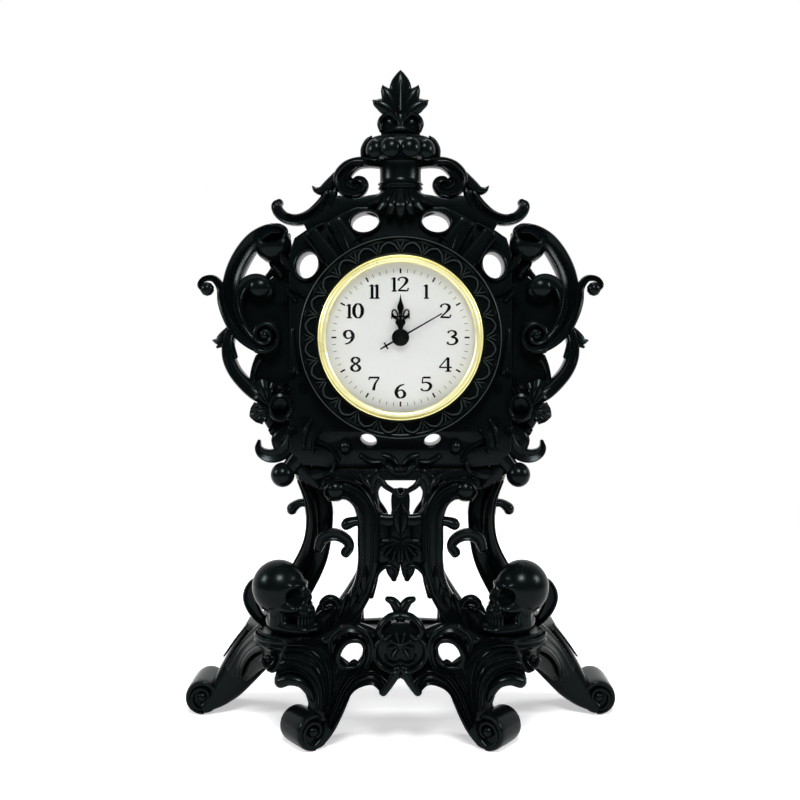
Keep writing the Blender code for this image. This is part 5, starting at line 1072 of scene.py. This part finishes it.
def build_wings():
    """The openwork side castings."""
    for word, side in (("left", -1), ("right", 1)):
        wing = Casting("wing_" + word + "_carved")
        draw_all(wing, WING_DRAWN, (side,), inmost=WING_SEAM)
        # the ball in the upper curl
        x, z = place(*CURL_BALL, -6)
        body = Matrix.Translation((side * x, -2.0, z + 0.5)) @ Matrix.Scale(1.12, 4)
        ball_points = [(0, -7.6), (3.2, -7.2), (5.6, -5.2), (7.2, -2.0), (7.4, 1.2), (6.4, 4.2), (5.2, 5.4),
                       (4.7, 5.2), (4.4, 4.4), (3.6, 2.6), (1.8, 1.6), (0, 1.4)]
        tip = Matrix.Rotation(math.radians(48), 4, "X") @ Matrix.Rotation(side * math.radians(6), 4, "Y")
        wing.turned(ball_points, body @ tip, 40)
        # head of the inner band, volute, and the stem's ball
        x, z = place(*BAND_HEAD, -6)
        ball(wing, (side * x, -4.8, z), (5.8, 4.4, 5.1))
        x, z = place(*VOLUTE, -8)
        volute = coil((x, z), 7.6, 1.6, -60, -1.72, 1.5, 1.0, -6.2, -8.0)
        wing.stroke(volute, 4.6, "round", steps=2, side=side, count=14)
        bead(wing, (side * x, -7.6, z), 2.1)
        x, z = place(*STEM_BALL, -6)
        bead(wing, (side * x, -5.4, z), 3.2)
        # web that carries the castings, behind
        plate = [place(a, d, 0) for a, d in WING_WEB]
        wing.slab([(side * max(x, WING_SEAM), z) for x, z in plate], [], -1.0, 5.0)
        for drawing in WING_SHELLS:
            leaf(wing, *drawing, 4.0, 44, (side,))
        wing.cast("wing_" + word)


# Crest

# Crest and finial: name: (section, full depth, y, points, settings)
CREST_DRAWN = {
    "scroll": ("rim", 11.5, -1, [
        (421, 164.5, 4.0), (432, 163, 4.8), (443, 163.5, 6.0), (453, 169, 7.8), (459.5, 178.5, 8.4),
        (457, 188, 7.4), (448.5, 193, 6.0), (440, 191.5, 4.8), (436, 185.5, 4.0), (438.5, 180.5, 3.5),
        (444, 179.5, 3.0), (448, 182.5, 2.0)], dict(steps=8, count=24)),
    "scroll_body": ("soft", 6, 0.5, [(441, 187, 5), (449, 186, 7), (456, 181, 7)], dict(steps=4)),
    "scroll_reed": ("round", 2.4, -7, [
        (438, 161, 0.9), (450, 162.5, 1.1), (461, 171.5, 1.3), (464.5, 181, 1.4), (461, 190.5, 1.3),
        (451, 195, 1.2), (441, 192, 1.0), (436.5, 185, 0.9)], dict(steps=8, count=10)),
    "shoulder_leaf": ("ridge", 6, -1, [
        (464, 176, 5), (471, 184.5, 6), (478.5, 190.5, 5), (485, 190, 3), (488.5, 186.4, 0.8)]),
    "arm": ("rim", 10.5, -1, [
        (470, 192, 4.0), (475, 199, 5.4), (482, 208, 6.0), (491, 216, 6.2), (502, 220, 5.8),
        (513, 219, 5.6), (521, 213.5, 5.8), (524, 206.5, 5.4), (521, 202.5, 3.6)], dict(steps=7, count=24)),
    "arm_reed": ("round", 2.4, -6.2, [
        (475, 194, 1.0), (484, 205.5, 1.3), (494, 212.8, 1.4), (505, 215.6, 1.3), (514, 213.6, 1.1)],
        dict(steps=6, count=10)),
    "arm_root": ("soft", 8, 0.0, [
        (418, 196, 4, 0), (430, 202, 5, 0), (444, 205, 5, 0), (460, 206, 5, 0), (474, 212, 5, 0),
        (486, 220, 4, 0)]),
    "skirt_root": ("soft", 7, 0.0, [(420, 214, 5, 0), (440, 207.5, 4.5, 0)], dict(steps=4)),
}

# Finial: FINIAL_DRAWN on both sides, FINIAL_MIDDLE once
FINIAL_DRAWN = {
    "curl_body": ("soft", 7.6, 0, [(410.5, 124.5, 8.0), (412, 125.5, 8.0)], dict(steps=2)),
    "curl_foot": ("soft", 6.4, 0, [(412, 121, 7.0), (413.5, 133, 7.0)], dict(steps=2)),
}

FINIAL_MIDDLE = {
    "midrib": ("round", 1.6, -4.2, [
        (400.5, 112, 0.9), (400.5, 96, 1.0), (400.5, 80, 0.5)], dict(steps=6, count=10)),
    "core": ("soft", 8.0, 0, [(400.5, 116, 5.0), (400.5, 131, 6.0)], dict(steps=3)),
}

# The crest's web, then the leaves on its arms
CREST_PLATE = [(396, 214), (396, 196), (418, 193), (432, 195), (446, 198), (462, 195), (472, 200),
               (479, 210), (487, 218), (498, 223), (495, 229), (480, 224), (462, 216), (450, 210.5),
               (436, 208.5), (421, 210), (412, 216)]
ARM_LEAVES = ([(466, 191, 3.0), (468.5, 200, 4.0), (472.5, 207.5, 2.4)],
              [(474, 193, 2.6), (478, 202, 3.0), (481, 209, 1.6)])
SKIRT_TOP = 193
# Skirt: (foot across, tip across, tip down, half width), the middle leaf first
SKIRT_LEAVES = ((400.5, 400.5, 216, 6.2), (404.5, 411, 215, 5.8), (409, 421, 211.5, 5.6),
                (413, 430.5, 206.5, 5.0))
URN_HANDLE = [(438.5, 158, 2.0), (437.5, 149, 3.0), (433.5, 141, 2.8), (429.5, 136.5, 1.0)]
# Finial leaves: (points, y, full depth), the middle leaf first
PETALS = (
    ([(400.5, 118, 5.0), (400.5, 104, 9.0), (400.5, 90, 11.2), (400.5, 81, 9.0), (400.5, 74, 4.2),
      (400.5, 70.3, 0.5)], -0.4, 5.2),
    ([(403, 118, 3.6), (407, 106, 7.4), (412.5, 96, 7.4), (416.5, 90, 4.2), (418.4, 85.6, 0.7)], -1.6, 5.2),
    ([(405, 120, 4.0), (411, 111, 7.2), (418.5, 105.5, 7.0), (424.5, 103, 4.2), (428, 100.5, 0.8)],
     -2.4, 5.4),
)
PETAL_VEINS = ([(405, 114, 0.8), (409.5, 103, 0.8), (415, 92, 0.5)],
               [(407, 116, 0.8), (415, 108, 0.8), (424, 103, 0.5)])
FINIAL_CURL = [(402, 127, 1.8), (405, 119, 2.4), (411.5, 115, 2.6), (418.5, 117.5, 2.6), (421.6, 124, 2.4),
               (420, 131, 1.8)]
FINIAL_SPAN = (268.3, 298.9)    # the finial's glue face and the clock's top, mm


def build_crest():
    """Crest with its C-scrolls and arms, the gadrooned urn and the leaf finial."""
    crest = Casting("crest_carved")
    neck = [(0, 236.3), (13.4, 236.4), (12.8, 238.4), (11, 241), (9.6, 242.6), (9.2, 243.6), (10.0, 244.0),
            (10.2, 244.7), (9.6, 245.2), (9.7, 245.8), (10.4, 246.4), (9.8, 247.0), (9.4, 247.4),
            (9.3, 249), (9.3, 252), (9.6, 254.6), (10.2, 256.2), (0, 256.3)]
    crest.turned(neck)
    draw_all(crest, CREST_DRAWN)
    for side in (1, -1):
        outline = [place(a, d, -6) for a, d in CREST_PLATE]
        crest.slab([(side * x, z) for x, z in outline], [], -6.0, 5.0)
    for points in ARM_LEAVES:
        crest.both(sheet(points, -4.4), 5.4, "ridge", steps=4)
    # skirt of leaves under the neck ring
    for i, (foot, tip, down, w) in enumerate(SKIRT_LEAVES):
        back = 1.1 * i
        bend = ((foot + tip) / 2, (SKIRT_TOP + down) / 2, w * 0.94, back - 13.2)
        line = sheet([(foot, SKIRT_TOP + 0.5, w * 0.62, back - 10.6), bend,
                      (tip, down - 2, w * 0.72, back - 12.2)])
        crest.stroke(line, 5.6, "ridge", count=18)
        if i:
            crest.stroke(line, 5.6, "ridge", count=18, side=-1)
    crest.cast("crest")

    urn = Casting("urn_carved")
    bowl = [(0, 256.6), (12.5, 256.6), (14.6, 257.6), (15.2, 260), (14.8, 264), (13.4, 266), (0, 266)]
    urn.turned(bowl)
    half = [(math.sin(t), -math.cos(t)) for t in np.linspace(0, math.pi, 14)]
    lobes = 10
    for i in range(lobes):
        lobe = Matrix.Rotation(math.tau * i / lobes, 4, "Z") @ Matrix.Translation((14.2, 0, 261.0))
        lobe = lobe @ Matrix.Rotation(math.radians(-8), 4, "Y")
        urn.turned(half, lobe @ Matrix.Diagonal((3.8, 4.7, 4.9, 1)), 24)
    for y in (-3, 3):
        urn.both(sheet(URN_HANDLE, y), 5, "ridge")
    lid = [(0, 264), (12.6, 264), (13.6, 264.8), (13.8, 265.5), (13.3, 266.0), (13.5, 266.6), (13.1, 267.2),
           (9.5, 267.8), (0, 268.0)]
    urn.turned(lid)
    urn.cast("urn")

    top = Casting("finial_carved")
    stalk = [(0, 268.3), (6.2, 268.3), (7.4, 269.0), (7.8, 270.0), (7.4, 270.9), (6.0, 271.6), (5.6, 272.6),
             (0, 273)]
    top.turned(stalk, None, 40)
    for line, y, deep in PETALS:
        top.both(sheet(line, y), deep, "ridge", steps=7)
        top.both(sheet(line, -y), deep, "soft", steps=7)
    draw_all(top, FINIAL_MIDDLE, (1,))
    for line in PETAL_VEINS:
        top.both(sheet(line, -4.0), 1.4, "round", steps=6, count=10)
    for y in (-3.4, 3.4):
        top.both(sheet(FINIAL_CURL, y), 4.4, "round", count=14)
    draw_all(top, FINIAL_DRAWN)
    cut_level(top, *FINIAL_SPAN)
    top.cast("finial")


# Insert

def ribbon(casting, points, y, thick, side=1, matrix=None):
    """A flat stroke of print or of a stamped hand."""
    line = [(x, z, w, y) for x, z, w in points]
    casting.stroke(line, thick, "box", side=side, matrix=matrix, count=8, even=0.0, caps=(0.6, 0.6))


# Numerals as strokes (x, z, half width) in a box one unit high and wide
DIGITS = {
    "0": [[(0.5, 0.98, .03), (0.36, 0.93, .07), (0.24, 0.7, .105), (0.22, 0.5, .11), (0.24, 0.3, .105),
           (0.36, 0.07, .07), (0.5, 0.02, .03), (0.64, 0.07, .07), (0.76, 0.3, .105), (0.78, 0.5, .11),
           (0.76, 0.7, .105), (0.64, 0.93, .07), (0.5, 0.98, .03)]],
    "1": [[(0.5, 0.03, .09), (0.5, 0.5, .09), (0.5, 0.95, .09)],
          [(0.5, 0.96, .03), (0.38, 0.88, .04), (0.24, 0.85, .025)],
          [(0.26, 0.02, .025), (0.74, 0.02, .025)]],
    "2": [[(0.2, 0.74, .08), (0.24, 0.88, .05), (0.48, 0.97, .035), (0.72, 0.86, .085), (0.74, 0.68, .1),
           (0.56, 0.42, .06), (0.2, 0.06, .03)],
          [(0.16, 0.055, .05), (0.5, 0.055, .06), (0.78, 0.055, .05), (0.86, 0.24, .02)]],
    "3": [[(0.22, 0.8, .07), (0.28, 0.92, .04), (0.5, 0.97, .03), (0.7, 0.86, .08), (0.7, 0.68, .08),
           (0.42, 0.53, .02)],
          [(0.42, 0.53, .02), (0.7, 0.46, .07), (0.8, 0.27, .1), (0.66, 0.07, .06), (0.42, 0.02, .03),
           (0.22, 0.07, .05), (0.18, 0.2, .075)]],
    "4": [[(0.66, 0.97, .03), (0.1, 0.3, .03)], [(0.08, 0.28, .045), (0.92, 0.28, .045)],
          [(0.68, 0.96, .085), (0.68, 0.04, .085)], [(0.5, 0.02, .025), (0.88, 0.02, .025)]],
    "5": [[(0.28, 0.93, .06), (0.78, 0.93, .06)], [(0.26, 0.94, .03), (0.22, 0.54, .03)],
          [(0.22, 0.54, .03), (0.46, 0.6, .035), (0.72, 0.5, .085), (0.78, 0.3, .1), (0.62, 0.07, .065),
           (0.4, 0.02, .03), (0.2, 0.07, .05), (0.17, 0.18, .075)]],
    "6": [[(0.74, 0.95, .03), (0.44, 0.84, .06), (0.25, 0.58, .1), (0.22, 0.32, .11), (0.34, 0.08, .075),
           (0.52, 0.02, .035), (0.72, 0.12, .085), (0.78, 0.3, .1), (0.68, 0.5, .065), (0.5, 0.56, .03),
           (0.3, 0.46, .03)]],
    "7": [[(0.14, 0.93, .06), (0.82, 0.93, .06)], [(0.15, 0.94, .025), (0.13, 0.76, .025)],
          [(0.8, 0.9, .04), (0.54, 0.5, .07), (0.42, 0.05, .1)]],
    "8": [[(0.5, 0.97, .035), (0.32, 0.9, .07), (0.26, 0.75, .085), (0.38, 0.6, .06), (0.62, 0.46, .06),
           (0.78, 0.25, .095), (0.68, 0.08, .07), (0.5, 0.02, .035), (0.32, 0.08, .07), (0.22, 0.25, .095),
           (0.38, 0.46, .06), (0.62, 0.6, .06), (0.74, 0.75, .085), (0.68, 0.9, .07), (0.5, 0.97, .035)]],
}
DIGITS["9"] = [[(1 - x, 1 - z, w) for x, z, w in line] for line in DIGITS["6"]]
NUMERALS = (22.8, 23.5)     # half axes of the oval on which the numerals stand, mm
TALL, BOLD = 6.4, 7.2       # height of a numeral and the scale of its stroke widths, mm
NARROW, BROAD = (2.2, 4.6), (5.5, 6.6)      # room and drawn width of a 1 and of the other digits, mm


def build_insert():
    """Bezel, lens, printed dial and hands."""
    bezel = Casting("bezel_turned")
    brass = [(34.9, 0.0), (36.0, 0.0), (36.2, 0.3), (36.2, 5.2), (36.1, 5.6), (35.85, 5.75), (35.6, 5.55),
             (35.45, 5.0), (35.25, 4.95), (35.15, 5.6), (34.95, 6.3), (34.5, 6.7), (34.0, 6.8), (33.3, 6.6),
             (32.95, 6.3), (32.75, 5.9), (32.7, 5.7), (32.7, 5.0), (34.9, 5.0)]
    bezel.turned(brass[::-1], facing(BEZEL_FOOT), 160, loop=True)
    bezel.done(GILT, "insert", ["bezel"], smooth=30)
    lens = Casting("lens_disc")
    pane = [(0, 0), (34.5, 0), (34.55, 0.1), (34.55, 0.6), (34.5, 0.7), (0, 0.7)]
    lens.turned(pane, facing(depths("lens")[1]), 96)
    lens.done(CLEAR, "insert", ["lens"], smooth=30)
    front, back = depths("dial")
    dial = Casting("dial_printed")
    card = [(2.7, 0), (2.7, 0.5), (34.5, 0.5), (34.6, 0.4), (34.6, 0)]
    dial.turned(card, facing(back), 96, loop=True)
    dial.done(CARD, "insert", ["dial"], smooth=30)
    ink = Casting("dial_print")
    y = front - 0.02
    for i in range(60):
        # every fifth minute has a long, broad mark
        long = i % 5 == 0
        a = math.tau * i / 60
        inner, outer, half = (28.2, 30.4, 0.36) if long else (28.6, 30.3, 0.10)
        mark = box_mesh((-half, y - 0.02, DIAL_Z + inner), (half, y + 0.02, DIAL_Z + outer))
        ink.add(*mark, round_dial(a))
    for hour in range(1, 13):
        word = str(hour)
        a = math.tau * hour / 12
        cx, cz = NUMERALS[0] * math.sin(a), DIAL_Z + NUMERALS[1] * math.cos(a)
        widths = [NARROW[0] if digit == "1" else BROAD[0] for digit in word]
        left = cx - sum(widths) / 2
        for digit, wide in zip(word, widths):
            stretch = NARROW[1] if digit == "1" else BROAD[1]
            for line in DIGITS[digit]:
                drawn = [(left + wide / 2 + (x - 0.5) * stretch, cz + (z - 0.5) * TALL, max(0.3, w * BOLD))
                         for x, z, w in line]
                ribbon(ink, drawn, y, 0.04)
            left += wide
    ink.done(INK, "insert", ["dial"], smooth=30)
    build_hands()


# Hands as strokes (x, z up from the dial's middle, half width), mm
HOUR_SCROLLS = ([(0.5, 3.4, .4), (0.7, 5.2, .5), (1.5, 6.6, .62), (1.3, 7.9, .42), (2.4, 8.6, .36),
                 (3.5, 9.3, .34), (4.0, 10.4, .12)],
                [(1.2, 9.0, .26), (1.4, 10.4, .28), (2.1, 11.9, .26), (3.1, 12.1, .27), (3.7, 11.1, .26),
                 (3.2, 9.8, .3), (2.2, 9.2, .3), (1.2, 9.0, .26)],
                [(0.2, 9.6, .3), (1.0, 9.2, .34), (1.8, 9.2, .2)],
                [(2.6, 9.4, .3), (3.7, 8.9, .26), (4.1, 8.2, .1)])
HOUR_STEM = [(0, 2.6, .8), (0, 5.0, .75), (0, 6.6, 1.0), (0, 8.0, .5), (0, 9.4, .5), (0, 10.6, .75),
             (0, 12.2, .6), (0, 14.0, .1)]
MINUTE_BLADE = [(0, 1.9, .5), (0, 6.0, .42), (0, 10.4, .5), (0, 12.4, 1.05), (0, 13.8, 1.15),
                (0, 15.6, .62), (0, 17.2, .3), (0, 18.9, .07)]
SECONDS_STROKES = (
    [(0, -9.9, .24), (0, -7.4, .34), (0, -3, .34), (0, 0, .34), (0, 10, .28), (0, 21.0, .22)],
    [(-1.6, -7.3, .3), (1.6, -7.3, .3)],
    [(0, -9.4, .12), (0, -10.1, .34), (0, -10.2, .1)])
HAND_WEIGHT = 1.25          # the hands' strokes are this much broader than drawn


def upright(points):
    """A hand's stroke placed over the dial."""
    return [(x, DIAL_Z + z, w * HAND_WEIGHT) for x, z, w in points]


def build_hands():
    """Pierced hour hand, leaf-shaped minute hand, seconds hand with its crossed tail and domed cap."""
    y = sum(depths("hour_hand")) / 2
    hour = Casting("hour_hand_pierced")
    collar = [(2.35, -0.15), (2.35, 0.15), (2.95, 0.15), (2.95, -0.15)]
    hour.turned(collar, facing(y), 32, loop=True)
    for side in (1, -1):
        for line in HOUR_SCROLLS:
            ribbon(hour, upright(line), y, 0.26, side)
    ribbon(hour, upright(HOUR_STEM), y, 0.3)
    hour.done(LACQUER, "hour", ["hour_hand"], smooth=30)

    y = sum(depths("minute_hand")) / 2
    minute = Casting("minute_hand_leaf")
    collar = [(1.5, -0.15), (1.5, 0.15), (2.3, 0.15), (2.3, -0.15)]
    minute.turned(collar, facing(y), 28, loop=True)
    ribbon(minute, upright(MINUTE_BLADE), y, 0.28)
    minute.done(LACQUER, "minute", ["minute_hand"], smooth=30)

    back = depths("seconds_hand")[1]
    second = Casting("seconds_hand_cross")
    turn = round_dial(math.radians(60))
    mid = back - 0.15
    for line in SECONDS_STROKES:
        ribbon(second, upright(line), mid, 0.26, matrix=turn)
    cap = [(0, 0), (3.5, 0), (3.78, 0.12), (3.8, 0.3), (3.6, 0.48), (2.6, 0.58), (0, 0.62)]
    second.turned(cap, facing(mid - 0.1))
    second.done(LACQUER, "seconds", ["seconds_hand"], smooth=30)


# Room

# Soft lamps: name, position and width in metres, power in watts; all of them face the lit point
LAMPS = (("key", (0.0, -0.75, 0.85), 0.3, 10.4), ("left", (-0.75, -0.2, 0.45), 0.22, 3.6),
         ("right", (0.75, -0.2, 0.45), 0.22, 3.6), ("top", (0, 0.2, 1.0), 0.35, 3.0))
LIT_POINT = (0, 0, 0.15)
ROOM_TINT, ROOM_LIGHT = (0.86, 0.96, 1.0, 1), 0.06      # what the clock mirrors on the viewer's side
SENSOR = 36             # width of the camera's sensor, mm


def maths(nodes, links, operation, first, second):
    """A maths node on two outputs or numbers."""
    made = nodes.new("ShaderNodeMath")
    made.operation = operation
    for socket, value in zip(made.inputs, (first, second)):
        if isinstance(value, float):
            socket.default_value = value
        else:
            links.new(value, socket)
    return made.outputs[0]


def seen_rays(nodes, links, where, low, high):
    """1 for what is seen straight; mirrors and glass see it where Y passes from low to high."""
    path = nodes.new("ShaderNodeLightPath")
    indirect = maths(nodes, links, "MAXIMUM", path.outputs["Is Glossy Ray"],
                     path.outputs["Is Transmission Ray"])
    place_in = nodes.new("ShaderNodeTexCoord")
    split = nodes.new("ShaderNodeSeparateXYZ")
    links.new(place_in.outputs[where], split.inputs[0])
    far = nodes.new("ShaderNodeMapRange")
    far.inputs["From Min"].default_value = low
    far.inputs["From Max"].default_value = high
    links.new(split.outputs["Y"], far.inputs["Value"])
    indirect = maths(nodes, links, "MULTIPLY", indirect, far.outputs["Result"])
    return maths(nodes, links, "MAXIMUM", path.outputs["Is Camera Ray"], indirect)


def build_room():
    """White floor and backdrop, a dim room on the viewer's side, and soft lamps."""
    world = bpy.data.worlds.new("room")
    bpy.context.scene.world = world
    world.use_nodes = True
    nodes, links = world.node_tree.nodes, world.node_tree.links
    dim = nodes["Background"]
    dim.inputs["Color"].default_value = ROOM_TINT
    dim.inputs["Strength"].default_value = ROOM_LIGHT
    white = nodes.new("ShaderNodeBackground")
    white.inputs["Color"].default_value = (1, 1, 1, 1)
    white.inputs["Strength"].default_value = 1.0
    mix = nodes.new("ShaderNodeMixShader")
    links.new(seen_rays(nodes, links, "Generated", -0.1, 0.5), mix.inputs[0])
    links.new(dim.outputs[0], mix.inputs[1])
    links.new(white.outputs[0], mix.inputs[2])
    links.new(mix.outputs[0], nodes["World Output"].inputs[0])

    reach, corners = 0.62, 64
    mesh = bpy.data.meshes.new("floor")
    around = [math.tau * i / corners for i in range(corners)]
    rim = [(reach * math.cos(a), reach * math.sin(a), 0) for a in around]
    mesh.from_pydata(rim, [], [tuple(range(corners))])
    floor = bpy.data.objects.new("floor", mesh)
    bpy.context.scene.collection.objects.link(floor)
    white = bpy.data.materials.new("floor_white")
    white.use_nodes = True
    nodes, links = white.node_tree.nodes, white.node_tree.links
    shader = nodes["Principled BSDF"]
    shader.inputs["Base Color"].default_value = (0.9, 0.9, 0.9, 1)
    shader.inputs["Roughness"].default_value = 0.7
    shader.inputs["Specular IOR Level"].default_value = 0.1
    glow = nodes.new("ShaderNodeEmission")
    where = nodes.new("ShaderNodeTexCoord")
    length = nodes.new("ShaderNodeVectorMath")
    length.operation = "LENGTH"
    links.new(where.outputs["Object"], length.inputs[0])
    # the floor's own glow grows outwards from the clock, so its shadow stays and the edge is white
    fade = nodes.new("ShaderNodeMapRange")
    fade.inputs["From Min"].default_value = 0.1
    fade.inputs["From Max"].default_value = 0.42
    fade.inputs["To Min"].default_value = 0.5
    fade.inputs["To Max"].default_value = 1.0
    links.new(length.outputs["Value"], fade.inputs["Value"])
    seen = seen_rays(nodes, links, "Object", 0.0, 0.3)
    links.new(maths(nodes, links, "MULTIPLY", seen, fade.outputs["Result"]), glow.inputs["Strength"])
    both = nodes.new("ShaderNodeAddShader")
    links.new(shader.outputs[0], both.inputs[0])
    links.new(glow.outputs[0], both.inputs[1])
    links.new(both.outputs[0], nodes["Material Output"].inputs[0])
    mesh.materials.append(white)

    for name, at, size, power in LAMPS:
        data = bpy.data.lights.new(name, "AREA")
        data.size = size
        data.energy = power
        lamp = bpy.data.objects.new(name, data)
        lamp.location = at
        lamp.rotation_euler = (Vector(LIT_POINT) - Vector(at)).to_track_quat("-Z", "Y").to_euler()
        bpy.context.scene.collection.objects.link(lamp)

    data = bpy.data.cameras.new("camera")
    data.lens = FOCAL / SHEET * SENSOR
    data.sensor_width = SENSOR
    data.shift_x = (SHEET / 2 - MIDDLE) / SHEET
    data.shift_y = -(SHEET / 2 - DIAL_ROW) / SHEET
    data.clip_start = 0.01
    camera = bpy.data.objects.new("camera", data)
    camera.location = (0, (DRUM_Y - EYE_BACK) / 1000, DIAL_Z / 1000)
    camera.rotation_euler = (math.radians(90), 0, 0)
    bpy.context.scene.collection.objects.link(camera)
    bpy.context.scene.camera = camera
    bpy.context.scene.view_settings.view_transform = "Standard"


build_legs()
build_base()
build_skulls()
build_waist()
build_housing()
build_wings()
build_crest()
build_insert()
build_room()
